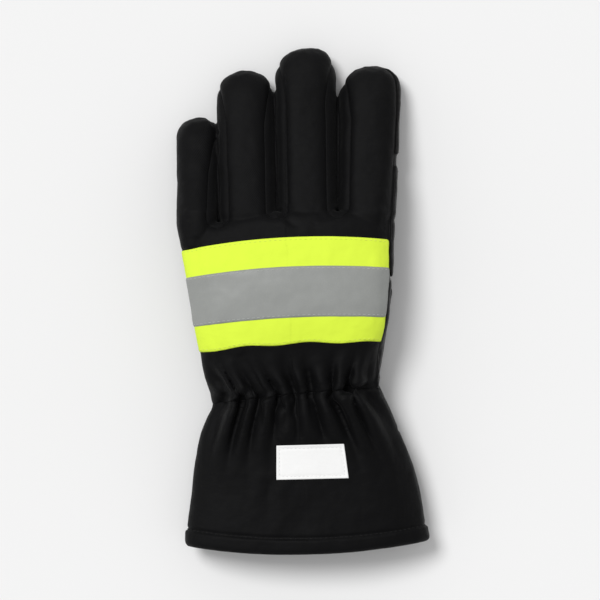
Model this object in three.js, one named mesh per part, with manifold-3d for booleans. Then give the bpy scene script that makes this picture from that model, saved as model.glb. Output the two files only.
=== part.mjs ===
// A left-hand firefighter glove that lies palm down, with its thumb folded under the palm.
// Millimetres: +X to the index finger's side, +Y to the fingertips, +Z up from the surface.
import * as THREE from "three";
import { mergeVertices } from "three/addons/utils/BufferGeometryUtils.js";
import Module from "manifold-3d";

const wasm = await Module();
wasm.setup();

// Driving sizes of the hand and the cuff
const CUFF_LENGTH = 103; // hem to the gathered wrist line
const PALM_LENGTH = 115.5; // wrist line to the crotches of the fingers
const CUFF_WIDTH = 153;
const WRIST_WIDTH = 109;
const CUFF_HEIGHT = 41;
const WRIST_HEIGHT = 36;
const HAND_HEIGHT = 32;
const HAND_WALL = 3.5;
const CUFF_WALL = 3;
const SEAM_GAP = 0.3;
const PALM_SEAM_DROP = 28.5; // cuff seam of the palm, below the wrist line

// Fingers
const FINGERS_WIDTH = 138.2; // the four of them side by side
const FINGER_LENGTH = 106.5; // middle finger, from the knuckle line to its tip
const FINGER_HEIGHT = 26;
const FINGER_GAP = 2;
const ROOT_SHARE = 0.98; // finger width at the root
const SIDE_STRIP_HEIGHT = 14; // side wall between the back and the palm of a finger
const SIDE_STRIP_THINNING = 34; // length over which it thins to a point
const SIDE_STRIP_END = 9; // from its point to the fingertip
const SIDE_STRIP_INSIDE = 2; // how near it reaches to the middle of the finger
const SEAM_SHIFT = 0.22; // share of the height by which the side seams leave the middle

// Thumb
const THUMB_HEIGHT = 22;
const THUMB_REACH = 101;
const THUMB_CLEARANCE = 0.6;

// What is sewn on
const PATCH_THICKNESS = 1.2;
const HEM_DEPTH = 10.7;
const HEM_THICKNESS = 1.2;
const BAND_WIDTH = 67;
const BAND_RISE = 32; // wrist line to the band's lower edge
const BAND_THICKNESS = 1;
const STRIP_WIDTH = 32;
const STRIP_RISE = 16.5; // band's lower edge to the silver strip
const STRIP_THICKNESS = 0.8;
const LABEL_WIDTH = 45;
const LABEL_DEPTH = 22;
const LABEL_DROP = 43; // wrist line to the label's middle
const LABEL_SIDE = 9; // label's middle, to the index side of the wrist's middle
const LABEL_THICKNESS = 0.8;
const LABEL_GAP = 0.6;

// Gathers of the back at the wrist
const GATHER_DEPTH = 4;
const GATHER_ABOVE = 26;
const GATHER_BELOW = 52;

// Width is a share of the four fingers' width, length of the middle finger's, lean of its own width.
const FINGER_SHARES = [
  { name: "little", width: 0.199, length: 0.573, lean: -0.04 },
  { name: "ring", width: 0.257, length: 0.859, lean: -0.05 },
  { name: "middle", width: 0.276, length: 1, lean: -0.03 },
  { name: "index", width: 0.268, length: 0.883, lean: 0.08 },
];

// Sections of the tube in each zone: at is the place along it, spread the width from wrist (0) to
// hem or knuckles (1), side the middle's place in shares of the knuckle width, lift the underside in
// shares of the palm's lift, height in shares of the zone's height, tilt and bow in shares of the
// half width, and power the roundness of the section.
const SECTIONS = {
  cuff: [
    { at: 0, spread: 1, side: 0.013, lift: -0.11, height: 1, tilt: 0.025, bow: 0.11, power: 2.3 },
    { at: 0.42, spread: 0.76, side: 0.013, lift: -0.11, height: 1.02, tilt: 0.01, bow: 0.08, power: 2.3 },
    { at: 0.73, spread: 0.42, side: -0.006, lift: 0.06, height: 0.97, tilt: 0.05, bow: 0.03, power: 2.4 },
  ],
  wrist: [
    { at: 1, spread: 0, side: -0.025, lift: 0.3, height: 1, tilt: 0.1, bow: -0.03, power: 2.5 },
  ],
  hand: [
    { at: 0.19, spread: 0.26, side: -0.048, lift: 0.6, height: 1.09, tilt: 0.06, bow: -0.04, power: 2.6 },
    { at: 0.42, spread: 0.58, side: -0.05, lift: 0.92, height: 1.04, tilt: 0.05, bow: -0.05, power: 2.6 },
    { at: 0.66, spread: 0.77, side: -0.062, lift: 1, height: 1, tilt: 0.05, bow: -0.06, power: 2.6 },
    { at: 0.82, spread: 0.88, side: -0.07, lift: 1, height: 0.96, tilt: 0.05, bow: -0.07, power: 2.6 },
    { at: 0.92, spread: 0.96, side: -0.074, lift: 0.96, height: 0.93, tilt: 0.06, bow: -0.09, power: 2.6 },
    { at: 1, spread: 1, side: -0.075, lift: 0.88, height: 0.88, tilt: 0.07, bow: -0.1, power: 2.5 },
  ],
};

// Valleys of the gathers, as places across the back from -1 to 1 at the wrist line, at the upper
// end of the fold and at its lower end, with the depth as a share.
const GATHERS = [
  { wrist: -0.78, above: -0.9, below: -0.86, depth: 0.8 },
  { wrist: -0.62, above: -0.8, below: -0.68, depth: 1 },
  { wrist: -0.44, above: -0.62, below: -0.5, depth: 0.9 },
  { wrist: -0.23, above: -0.38, below: -0.27, depth: 1 },
  { wrist: -0.03, above: -0.12, below: -0.03, depth: 0.7 },
  { wrist: 0.18, above: 0.14, below: 0.25, depth: 0.8 },
  { wrist: 0.41, above: 0.46, below: 0.53, depth: 1 },
  { wrist: 0.6, above: 0.7, below: 0.74, depth: 0.9 },
  { wrist: 0.8, above: 0.88, below: 0.9, depth: 0.7 },
];

// Height of the gathers along the glove: place in shares of their reach below (-) and above (+).
const GATHER_SWELL = [
  { at: -1, share: 0 },
  { at: -0.7, share: 0.3 },
  { at: -0.4, share: 0.75 },
  { at: -0.16, share: 1 },
  { at: 0, share: 0.6 },
  { at: 0.25, share: 0.9 },
  { at: 0.6, share: 0.5 },
  { at: 1, share: 0 },
];

// Sections of the thumb from tip to root. Its upper and lower edges are given as reach from the
// index side in shares of the thumb's reach, and along from the wrist line in shares of the palm's
// length. Height and lift are shares of the thumb's height, and end moves a section with the wall.
const THUMB_SECTIONS = [
  { upReach: 0.99, upAlong: 0.66, lowReach: 1, lowAlong: 0.58, height: 0.42, lift: 0.29, end: 1 },
  { upReach: 0.955, upAlong: 0.735, lowReach: 0.99, lowAlong: 0.5, height: 0.76, lift: 0.1, end: 0.8 },
  { upReach: 0.87, upAlong: 0.79, lowReach: 0.945, lowAlong: 0.42, height: 0.95, lift: 0, end: 0.3 },
  { upReach: 0.71, upAlong: 0.8, lowReach: 0.85, lowAlong: 0.33, height: 1, lift: 0, end: 0 },
  { upReach: 0.56, upAlong: 0.74, lowReach: 0.69, lowAlong: 0.2, height: 1, lift: 0, end: 0 },
  { upReach: 0.43, upAlong: 0.68, lowReach: 0.54, lowAlong: 0.07, height: 1, lift: 0, end: 0 },
  { upReach: 0.27, upAlong: 0.66, lowReach: 0.39, lowAlong: -0.07, height: 1, lift: 0, end: 0 },
  { upReach: 0.14, upAlong: 0.65, lowReach: 0.27, lowAlong: -0.18, height: 1.2, lift: 0, end: -0.3 },
  { upReach: 0.06, upAlong: 0.64, lowReach: 0.19, lowAlong: -0.21, height: 1.5, lift: 0.04, end: -0.8 },
  { upReach: 0.02, upAlong: 0.57, lowReach: 0.13, lowAlong: -0.16, height: 1.35, lift: 0.3, end: -1 },
];
const THUMB_ROOT_REACH = 0.1; // where its outer panel climbs the hand's side, in shares of the reach
const THUMB_ROOT_ALONG = 0.64; // upper end of that, in shares of the palm's length
const PASSAGE = { reach: 0.36, along: 0.3, halfReach: 0.19, halfAlong: 0.24 }; // into the thumb

// Edge of the thumb's outer panel, from the index side over the V-shaped seam to the cuff seam.
const THUMB_SEAM = [
  { reach: 0.37, along: 0.8 },
  { reach: 0.37, along: 0.65 },
  { reach: 0.7, along: 0.625 },
  { reach: 0.745, along: 0.63 },
  { reach: 0.9, along: 0.455 },
  { reach: 0.76, along: 0.315 },
  { reach: 0.51, along: 0.095 },
  { reach: 0.34, along: -0.07 },
  { reach: 0.26, along: -0.25 },
];

// Upper edge of the palm patch, from the index finger's side to the little finger's side: across
// in shares of the knuckle width from the index side, along in shares of the palm's length.
const PALM_PATCH_EDGE = [
  { across: 0.075, along: 1.26 },
  { across: 0.11, along: 1.15 },
  { across: 0.15, along: 1.03 },
  { across: 0.2, along: 0.94 },
  { across: 0.27, along: 0.895 },
  { across: 0.42, along: 0.88 },
  { across: 0.5, along: 0.895 },
  { across: 0.75, along: 0.91 },
  { across: 0.95, along: 0.88 },
];
const PALM_PATCH_FOOT = 0.27; // lower edge of the palm patch, in shares of the palm's length
const TIP_PATCH_DEPTH = 57; // index tip patch, from the fingertip to its lower edge
const TIP_PATCH_CORNER = 14;
const TIP_PATCH_INNER = 0.42; // its inner edge, from the finger's middle in shares of the width
const TIP_PATCH_LEAN = 3; // how far that edge leans outwards, up to two thirds of the depth
const HEEL_PATCH_WIDTH = 85;
const HEEL_PATCH_DEPTH = 45;
const HEEL_PATCH_CORNER = 22;
const HEEL_PATCH_SIDE = 1.5; // its middle, to the index side of the tube's middle

// Sizes that follow
const PATCH_STACK = SEAM_GAP + PATCH_THICKNESS;
const PALM_LIFT = THUMB_HEIGHT + THUMB_CLEARANCE + PATCH_STACK;
const HEM = -(CUFF_LENGTH + PALM_LENGTH + FINGER_LENGTH) / 2;
const WRIST = HEM + CUFF_LENGTH;
const KNUCKLE = WRIST + PALM_LENGTH;
const PALM_SEAM = WRIST - PALM_SEAM_DROP;
const KNUCKLE_WIDTH = FINGERS_WIDTH * ROOT_SHARE + (FINGER_SHARES.length - 1) * FINGER_GAP;
const KNUCKLE_MIDDLE = SECTIONS.hand.at(-1).side * KNUCKLE_WIDTH;
const INDEX_EDGE = KNUCKLE_MIDDLE + KNUCKLE_WIDTH / 2;
const FAR = 400; // outside the glove on every side
const BEYOND = 20; // how far a cutter reaches past what it cuts

const ZONES = {
  cuff: { start: HEM, length: CUFF_LENGTH, width: CUFF_WIDTH, height: CUFF_HEIGHT },
  wrist: { start: HEM, length: CUFF_LENGTH, width: CUFF_WIDTH, height: WRIST_HEIGHT },
  hand: { start: WRIST, length: PALM_LENGTH, width: KNUCKLE_WIDTH, height: HAND_HEIGHT },
};

// A closed solid from points and faces, with its faces turned out
function solidFrom(points, faces) {
  const vertProperties = new Float32Array(points.flatMap((p) => [p.x, p.y, p.z]));
  const build = (indices) =>
    new wasm.Manifold(
      new wasm.Mesh({ numProp: 3, vertProperties, triVerts: new Uint32Array(indices) }),
    );
  const made = build(faces);
  if (made.volume() > 0) return made;
  const turned = [];
  for (let i = 0; i < faces.length; i += 3) turned.push(faces[i], faces[i + 2], faces[i + 1]);
  return build(turned);
}

function solidOf(geometry) {
  const bare = new THREE.BufferGeometry();
  bare.setAttribute("position", geometry.getAttribute("position"));
  const merged = mergeVertices(bare, 1e-4);
  const position = merged.getAttribute("position");
  const points = [];
  for (let i = 0; i < position.count; i += 1) {
    points.push(new THREE.Vector3().fromBufferAttribute(position, i));
  }
  return solidFrom(points, Array.from(merged.index.array));
}

// A tube through rings of equally many points, closed at both ends
function loft(rings) {
  const count = rings[0].length;
  const points = rings.flat();
  const faces = [];
  for (let r = 0; r < rings.length - 1; r += 1) {
    for (let i = 0; i < count; i += 1) {
      const a = r * count + i;
      const b = r * count + ((i + 1) % count);
      faces.push(a, b, b + count, a, b + count, a + count);
    }
  }
  for (const [ring, start, front] of [
    [rings[0], 0, true],
    [rings.at(-1), (rings.length - 1) * count, false],
  ]) {
    const middle = new THREE.Vector3();
    ring.forEach((p) => middle.addScaledVector(p, 1 / count));
    const centre = points.push(middle) - 1;
    for (let i = 0; i < count; i += 1) {
      const a = start + i;
      const b = start + ((i + 1) % count);
      faces.push(...(front ? [centre, b, a] : [centre, a, b]));
    }
  }
  return solidFrom(points, faces);
}

// A solid between two grids of points of the same size
function thickSheet(outer, inner) {
  const rows = outer.length;
  const columns = outer[0].length;
  const points = [...outer.flat(), ...inner.flat()];
  const under = rows * columns;
  const faces = [];
  const quad = (a, b, c, d) => faces.push(a, b, c, a, c, d);
  for (let r = 0; r < rows - 1; r += 1) {
    for (let c = 0; c < columns - 1; c += 1) {
      const a = r * columns + c;
      quad(a, a + 1, a + 1 + columns, a + columns);
      quad(under + a, under + a + columns, under + a + 1 + columns, under + a + 1);
    }
  }
  for (let c = 0; c < columns - 1; c += 1) {
    const last = (rows - 1) * columns + c;
    quad(c + 1, c, under + c, under + c + 1);
    quad(last, last + 1, under + last + 1, under + last);
  }
  for (let r = 0; r < rows - 1; r += 1) {
    const left = r * columns;
    const right = left + columns - 1;
    quad(left, left + columns, under + left + columns, under + left);
    quad(right + columns, right, under + right, under + right + columns);
  }
  return solidFrom(points, faces);
}

// An outline in plan, drawn up from one height to another
function prism(outline, low, high) {
  const shape = outline instanceof THREE.Shape ? outline : new THREE.Shape(outline);
  const depth = high - low;
  const geometry = new THREE.ExtrudeGeometry(shape, { depth, bevelEnabled: false, curveSegments: 6 });
  return solidOf(geometry.translate(0, 0, low));
}

const columnsOf = (zone, row) => {
  const width = WRIST_WIDTH + row.spread * (zone.width - WRIST_WIDTH);
  return {
    at: zone.start + row.at * zone.length,
    values: [
      width,
      row.side * KNUCKLE_WIDTH,
      PATCH_STACK + row.lift * (PALM_LIFT - PATCH_STACK),
      row.height * zone.height,
      (row.tilt * width) / 2,
      (row.bow * width) / 2,
      row.power,
    ],
  };
};
const SECTION_COLUMNS = Object.entries(SECTIONS).flatMap(([name, rows]) =>
  rows.map((row) => columnsOf(ZONES[name], row)),
);
const profile = new THREE.CubicInterpolant(
  SECTION_COLUMNS.map((row) => row.at),
  SECTION_COLUMNS.flatMap((row) => row.values),
  SECTION_COLUMNS[0].values.length,
);

function sectionAt(y) {
  const [width, middle, bottom, height, tilt, bow, power] = profile.evaluate(y);
  return { width, middle, bottom, height, tilt, bow, power };
}

// Where a line across the glove at a place y runs, at a share from -1 to 1 across it
const acrossAt = (y, share) => {
  const section = sectionAt(y);
  return y + section.tilt * share + section.bow * share * share;
};

const EDGE_SHARES = [0.995, 0.965, 0.9];
const PALM_SHARES = [0.97, 0.87, 0.68, 0.38, 0, -0.38, -0.68, -0.87, -0.97];
const PLAIN_SHARES = [-1, -0.97, -0.86, -0.62, -0.32, 0, 0.32, 0.62, 0.86, 0.97, 1];

const mix = THREE.MathUtils.lerp;

function swellAt(share) {
  if (share <= -1 || share >= 1) return 0;
  const next = GATHER_SWELL.findIndex((row) => row.at >= share);
  const [low, high] = [GATHER_SWELL[next - 1], GATHER_SWELL[next]];
  return mix(low.share, high.share, (share - low.at) / (high.at - low.at));
}

// Points of the back across one section: valleys and ridges of the gathers, then the edges
function backPointsAt(y) {
  const reach = y < WRIST ? GATHER_BELOW : GATHER_ABOVE;
  const share = THREE.MathUtils.clamp((y - WRIST) / reach, -1, 1);
  const swell = swellAt(share) * GATHER_DEPTH;
  const placeOf = (row) => mix(row.wrist, y < WRIST ? row.below : row.above, Math.abs(share));
  const points = [];
  GATHERS.forEach((row, i) => {
    const place = placeOf(row);
    points.push({ share: place, rise: -0.3 * swell * row.depth });
    const next = GATHERS[i + 1];
    if (!next) return;
    const depth = (row.depth + next.depth) / 2;
    points.push({ share: mix(place, placeOf(next), 0.5), rise: swell * depth });
  });
  const first = points[0].share;
  const last = points.at(-1).share;
  const left = [-1, -EDGE_SHARES[0], -EDGE_SHARES[1], mix(-EDGE_SHARES[1], first, 0.5)];
  const right = [mix(EDGE_SHARES[1], last, 0.5), EDGE_SHARES[1], EDGE_SHARES[0], 1];
  const flat = (places, rise) => places.map((place) => ({ share: place, rise }));
  return [...flat(left, 0), ...points, ...flat(right, 0)];
}

// One closed ring of the tube, over the back from the little finger's side and home by the palm
function bodyRing(y, grow, plain = false) {
  const section = sectionAt(y);
  const halfWidth = section.width / 2 + grow;
  const halfHeight = section.height / 2 + grow;
  const middle = section.bottom + section.height / 2;
  const floor = PATCH_STACK - grow;
  const point = (share, side, rise) => {
    const round = (1 - Math.abs(share) ** section.power) ** (1 / section.power);
    return new THREE.Vector3(
      section.middle + share * halfWidth,
      y + section.tilt * share + section.bow * share * share,
      Math.max(middle + side * halfHeight * round + rise, floor),
    );
  };
  const back = plain ? PLAIN_SHARES.map((share) => ({ share, rise: 0 })) : backPointsAt(y);
  const front = plain ? PLAIN_SHARES.slice(1, -1).reverse() : PALM_SHARES;
  return [
    ...back.map(({ share, rise }) => point(share, 1, rise)),
    ...front.map((share) => point(share, -1, 0)),
  ];
}

// The end of the hand closes round between the fingers: back and inset in shares of the wall
const END_ROUND = [
  { back: 0, inset: 1.57 },
  { back: 0.4, inset: 0.63 },
  { back: 1.71, inset: 0 },
];
const HEM_ROUND = 0.14; // rounding of the hem's fold, in shares of its depth
const HEM_STITCH = 0.3; // depth of the groove above the hem

function bodySolid(grow) {
  const round = HEM_ROUND * HEM_DEPTH;
  const hem = [
    { y: HEM - grow, extra: HEM_THICKNESS / 3 },
    { y: HEM + round, extra: HEM_THICKNESS },
    { y: HEM + HEM_DEPTH - round, extra: HEM_THICKNESS },
    { y: HEM + HEM_DEPTH, extra: -HEM_STITCH },
  ];
  const cuffShares = [0.55];
  const foldShares = [-1, -0.66, -0.36, -0.16, -0.05];
  const riseShares = [0.12, 0.5, 1];
  const handShares = [0.42, 0.6, 0.78];
  const foldsEnd = WRIST - GATHER_BELOW;
  const handEnd = KNUCKLE + grow;
  const rings = [
    ...hem.map(({ y, extra }) => bodyRing(y, grow + extra)),
    ...cuffShares.map((share) => bodyRing(mix(foldsEnd, HEM + HEM_DEPTH, share), grow)),
    ...foldShares.map((share) => bodyRing(WRIST + share * GATHER_BELOW, grow)),
    bodyRing(WRIST, grow),
    ...riseShares.map((share) => bodyRing(WRIST + share * GATHER_ABOVE, grow)),
    ...handShares.map((share) => bodyRing(WRIST + share * PALM_LENGTH, grow)),
    ...END_ROUND.toReversed().map(({ back, inset }) =>
      bodyRing(handEnd - back * HAND_WALL, grow - inset * HAND_WALL),
    ),
  ];
  return loft(rings);
}

function bodyHollow() {
  const shares = [0.04, 0.3, 0.55, 0.8];
  const handShares = [0, 0.18, 0.36, 0.55, 0.75, 0.88];
  const rings = [
    bodyRing(HEM - BEYOND, -CUFF_WALL, true),
    ...shares.map((share) => bodyRing(HEM + share * CUFF_LENGTH, -CUFF_WALL, true)),
    ...handShares.map((share) => bodyRing(WRIST + share * PALM_LENGTH, -HAND_WALL, true)),
    bodyRing(KNUCKLE - 2.4 * HAND_WALL, -HAND_WALL, true),
    bodyRing(KNUCKLE - HAND_WALL, -1.6 * HAND_WALL, true),
  ];
  return loft(rings);
}

// Sizes of the fingers and their places across the knuckles
let edge = KNUCKLE_MIDDLE - KNUCKLE_WIDTH / 2;
const PLACED_FINGERS = FINGER_SHARES.map((row) => {
  const width = row.width * FINGERS_WIDTH;
  const root = edge + (width * ROOT_SHARE) / 2;
  edge += width * ROOT_SHARE + FINGER_GAP;
  return { ...row, width, length: row.length * FINGER_LENGTH, root, tip: root + row.lean * width };
});
const PATCHED_FINGER = PLACED_FINGERS.at(-1);
const ROOT_SECTION = sectionAt(KNUCKLE);
const ROOT_MIDDLE = ROOT_SECTION.bottom + ROOT_SECTION.height / 2;
const FINGER_SINK = 14; // how far a finger's tube starts inside the hand
const INNER_DROP = 0.3; // slope of that tube, in shares of the finger's own slope
const TIP_PRESS = 3.5; // how much of the round underside of a fingertip is pressed flat

const restOf = (finger) => (finger === PATCHED_FINGER ? PATCH_STACK : 0);

// The line through the middle of a finger: its place across and its height
function fingerLine(finger, y) {
  const share = THREE.MathUtils.clamp((y - KNUCKLE) / finger.length, -0.4, 1);
  const tipMiddle = restOf(finger) + FINGER_HEIGHT / 2 - TIP_PRESS;
  const drop = share < 0 ? share * INNER_DROP : share ** 0.9;
  return {
    x: mix(finger.root, finger.tip, share),
    z: mix(ROOT_MIDDLE, tipMiddle, drop),
  };
}

// Rings of a finger from its root to its round tip, away from the tip in shares of the width
const OUTSIDE = { sides: 12, tipBacks: [1, 0.62, 0.36, 0.16, 0.04, 0] };
const INSIDE = { sides: 10, tipBacks: [1, 0.45, 0.12, 0] };
const DOME = 0.54; // length of the round tip, in shares of the finger's width
const TIP_POWER = 2.5; // roundness of the tip
const FINGER_SQUARE = 0.82; // under 1 the section of a finger is fuller than an ellipse

function fingerRing(finger, y, grow, size, sides) {
  const line = fingerLine(finger, y);
  const along = THREE.MathUtils.clamp((y - KNUCKLE) / finger.length, 0, 1);
  const width = finger.width * mix(ROOT_SHARE, 1, Math.min(along * 2, 1));
  const halfWidth = (width / 2 + grow) * size;
  const halfHeight = (FINGER_HEIGHT / 2 + grow) * size ** 0.85;
  const ring = [];
  for (let i = 0; i < sides; i += 1) {
    const angle = (2 * Math.PI * (i + 0.5)) / sides;
    const c = Math.cos(angle);
    const s = Math.sin(angle);
    const x = line.x + halfWidth * Math.sign(c) * Math.abs(c) ** FINGER_SQUARE;
    const z = line.z + halfHeight * Math.sign(s) * Math.abs(s) ** FINGER_SQUARE;
    ring.push(new THREE.Vector3(x, y, Math.max(z, restOf(finger) - grow)));
  }
  return ring;
}

function fingerSolid(finger, grow, { sides, tipBacks } = OUTSIDE) {
  const tip = KNUCKLE + finger.length + grow;
  const dome = DOME * (finger.width + 2 * grow);
  const end = acrossAt(KNUCKLE, (finger.root - KNUCKLE_MIDDLE) / (KNUCKLE_WIDTH / 2));
  const start = end - FINGER_SINK;
  const rings = [
    fingerRing(finger, start, grow, 0.8, sides),
    fingerRing(finger, mix(start, end, 0.75), grow, 0.96, sides),
    fingerRing(finger, mix(KNUCKLE, tip - dome, 0.5), grow, 1, sides),
  ];
  for (const back of tipBacks) {
    const size = Math.max((1 - (1 - back) ** TIP_POWER) ** (1 / TIP_POWER), 0.35);
    rings.push(fingerRing(finger, tip - back * dome, grow, size, sides));
  }
  return loft(rings);
}

// The thumb, folded flat under the palm
const THUMB_SIDES = 14;
const THUMB_FLAT = 0.8; // how much of its round underside is pressed flat
const THUMB_SQUARE = { across: 0.85, up: 0.75 }; // under 1 its section is fuller than an ellipse

const thumbPlace = (reach, along) =>
  new THREE.Vector2(INDEX_EDGE - reach * THUMB_REACH, WRIST + along * PALM_LENGTH);

function thumbSolid(grow) {
  const ends = THUMB_SECTIONS.map((row) => ({
    up: thumbPlace(row.upReach, row.upAlong),
    low: thumbPlace(row.lowReach, row.lowAlong),
  }));
  const middles = ends.map(({ up, low }) => up.clone().add(low).multiplyScalar(0.5));
  const axis = middles[0].clone().sub(middles.at(-1)).normalize();
  const rings = THUMB_SECTIONS.map((row, k) => {
    const { up, low } = ends[k];
    const across = up.clone().sub(low);
    const half = across.clone().setLength(Math.max(across.length() / 2 + grow, 2));
    const middle = middles[k].clone().addScaledVector(axis, row.end * grow);
    const halfHeight = Math.max((row.height * THUMB_HEIGHT) / 2 + grow, 1);
    const middleHeight = (row.lift + row.height / 2) * THUMB_HEIGHT;
    const ring = [];
    for (let i = 0; i < THUMB_SIDES; i += 1) {
      const angle = (2 * Math.PI * (i + 0.5)) / THUMB_SIDES;
      const c = Math.cos(angle);
      const s = Math.sin(angle);
      const reach = Math.sign(c) * Math.abs(c) ** THUMB_SQUARE.across;
      const place = middle.clone().addScaledVector(half, reach);
      const drop = s < 0 ? THUMB_FLAT : 0;
      const rise = Math.sign(s) * Math.abs(s) ** THUMB_SQUARE.up;
      const z = middleHeight + (halfHeight + drop) * rise;
      ring.push(new THREE.Vector3(place.x, place.y, Math.max(z, -grow)));
    }
    return ring;
  });
  return loft(rings);
}

// The way from the hand's hollow down into the thumb, or grown, the collar around it
function thumbPassage(grow = 0) {
  const outline = new THREE.Shape();
  const middle = thumbPlace(PASSAGE.reach, PASSAGE.along);
  const halfWidth = PASSAGE.halfReach * THUMB_REACH + grow;
  const halfLength = PASSAGE.halfAlong * PALM_LENGTH + grow;
  outline.absellipse(middle.x, middle.y, halfWidth, halfLength, 0, 2 * Math.PI);
  return prism(outline, THUMB_HEIGHT / 2, PALM_LIFT + HAND_HEIGHT / 3);
}

// Height of the side seam, through the fingers' middles and low on the little finger's side
function seamGrid(shift) {
  const first = PLACED_FINGERS[0];
  const last = PLACED_FINGERS.at(-1);
  const cuffRows = [-1.4, -1, -0.5].map((share) => WRIST + share * CUFF_LENGTH);
  const handRows = [0, 0.25, 0.5, 1].map((share) => WRIST + share * PALM_LENGTH);
  const fingerRows = [0.24, 0.48, 0.71, 0.95, 1.2].map((share) => KNUCKLE + share * FINGER_LENGTH);
  return [...cuffRows, ...handRows, ...fingerRows].map((y) => {
    const beyond = y > KNUCKLE;
    const section = sectionAt(y);
    const bodyMiddle = Math.max(section.bottom, 0) + section.height / 2;
    const height = beyond ? FINGER_HEIGHT : section.height;
    const heights = PLACED_FINGERS.map((f) => (beyond ? fingerLine(f, y).z : bodyMiddle));
    const drop = SEAM_SHIFT * height;
    const columns = [
      [-FAR, heights[0] - drop],
      [first.root - first.width * 0.3, heights[0] - drop],
      ...PLACED_FINGERS.map((f, i) => [f.root, heights[i]]),
      [last.root + last.width * 0.3, heights.at(-1) + drop],
      [FAR, heights.at(-1) + drop],
    ];
    return columns.map(([x, z]) => new THREE.Vector3(x, y, z + shift));
  });
}

const levelled = (grid, z) => grid.map((row) => row.map((p) => new THREE.Vector3(p.x, p.y, z)));

function aboveSeam() {
  const grid = seamGrid(SEAM_GAP / 2);
  return thickSheet(levelled(grid, FAR), grid);
}

function belowSeam(extra = 0) {
  const grid = seamGrid(extra - SEAM_GAP / 2);
  return thickSheet(grid, levelled(grid, -FAR));
}

// Everything on one side of a line across the glove: side 1 is towards the fingertips
function acrossCut(y, side, gap) {
  const section = sectionAt(y);
  const line = [];
  for (let share = -1.2; share <= 1.21; share += 0.2) {
    const x = section.middle + (share * section.width) / 2;
    line.push(new THREE.Vector2(x, acrossAt(y, share) + side * gap));
  }
  const outline = [
    new THREE.Vector2(-FAR, line[0].y),
    ...line,
    new THREE.Vector2(FAR, line.at(-1).y),
    new THREE.Vector2(FAR, side * FAR),
    new THREE.Vector2(-FAR, side * FAR),
  ];
  return prism(outline, -FAR, FAR);
}

// The strip along one side of a finger, from its middle to the gap beside it, thinning to the tip
function stripCutter(finger, side, grow) {
  const tip = KNUCKLE + finger.length;
  const end = tip - SIDE_STRIP_END;
  const full = end - SIDE_STRIP_THINNING;
  const gapSide = finger.root + side * ((finger.width * ROOT_SHARE + FINGER_GAP) / 2 + SEAM_GAP);
  const rows = [
    KNUCKLE - SIDE_STRIP_END,
    KNUCKLE + SIDE_STRIP_END / 2,
    mix(KNUCKLE, full, 0.6),
    full,
    mix(end, full, 0.24),
    end,
  ];
  const rings = rows.map((y) => {
    const line = fingerLine(finger, y);
    const thin = THREE.MathUtils.clamp((end - y) / SIDE_STRIP_THINNING, 0.03, 1);
    const half = (SIDE_STRIP_HEIGHT / 2) * thin ** 0.8 + grow;
    const inner = line.x + side * SIDE_STRIP_INSIDE;
    const outer = gapSide + side * Math.max(0, finger.lean * side * finger.width);
    return [
      new THREE.Vector3(inner, y, line.z - half),
      new THREE.Vector3(outer, y, line.z - half),
      new THREE.Vector3(outer, y, line.z + half),
      new THREE.Vector3(inner, y, line.z + half),
    ];
  });
  return loft(rings);
}

const fourchetteCutter = (i, grow) =>
  stripCutter(PLACED_FINGERS[i], 1, grow).add(stripCutter(PLACED_FINGERS[i + 1], -1, grow));

// A thin skin over the outside of the hand and the index finger
function skin(low, high) {
  const outer = bodySolid(high).add(fingerSolid(PATCHED_FINGER, high));
  const inner = bodySolid(low).add(fingerSolid(PATCHED_FINGER, low));
  return outer.subtract(inner);
}

function palmPatchOutline() {
  const edgePoints = PALM_PATCH_EDGE.map(
    ({ across, along }) =>
      new THREE.Vector2(INDEX_EDGE - across * KNUCKLE_WIDTH, WRIST + along * PALM_LENGTH),
  );
  const curve = new THREE.SplineCurve(edgePoints).getPoints(18);
  const foot = WRIST + PALM_PATCH_FOOT * PALM_LENGTH;
  return [
    new THREE.Vector2(FAR, curve[0].y),
    ...curve,
    new THREE.Vector2(-FAR, curve.at(-1).y),
    new THREE.Vector2(-FAR, foot),
    new THREE.Vector2(FAR, foot),
  ];
}

function tipPatchOutline() {
  const finger = PATCHED_FINGER;
  const tip = KNUCKLE + finger.length;
  const inner = finger.tip - finger.width * TIP_PATCH_INNER;
  const foot = tip - TIP_PATCH_DEPTH;
  const corner = TIP_PATCH_CORNER;
  const outline = new THREE.Shape();
  outline.moveTo(FAR, tip + BEYOND);
  outline.lineTo(inner + 2 * TIP_PATCH_LEAN, tip + BEYOND);
  outline.lineTo(inner + TIP_PATCH_LEAN, tip - 0.35 * TIP_PATCH_DEPTH);
  outline.lineTo(inner, foot + 1.4 * corner);
  outline.quadraticCurveTo(inner, foot + 0.2 * corner, inner + corner, foot);
  outline.lineTo(FAR, foot);
  outline.closePath();
  return outline;
}

function heelPatchOutline() {
  const half = HEEL_PATCH_WIDTH / 2;
  const middle = sectionAt(PALM_SEAM).middle + HEEL_PATCH_SIDE;
  const foot = PALM_SEAM - HEEL_PATCH_DEPTH;
  const corner = HEEL_PATCH_CORNER;
  const outline = new THREE.Shape();
  outline.moveTo(middle - half, PALM_SEAM + BEYOND);
  outline.lineTo(middle - half, foot + corner);
  outline.quadraticCurveTo(middle - half, foot, middle - half + corner, foot);
  outline.lineTo(middle + half - corner, foot);
  outline.quadraticCurveTo(middle + half, foot, middle + half, foot + corner);
  outline.lineTo(middle + half, PALM_SEAM + BEYOND);
  outline.closePath();
  return outline;
}

// A strip sewn over the back, from the little finger's seam to the index finger's seam
function backStrip(low, high, gap, thickness) {
  return bodySolid(gap + thickness)
    .subtract(bodySolid(gap))
    .intersect(aboveSeam())
    .intersect(acrossCut(low, 1, 0))
    .intersect(acrossCut(high, -1, 0));
}

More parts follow.
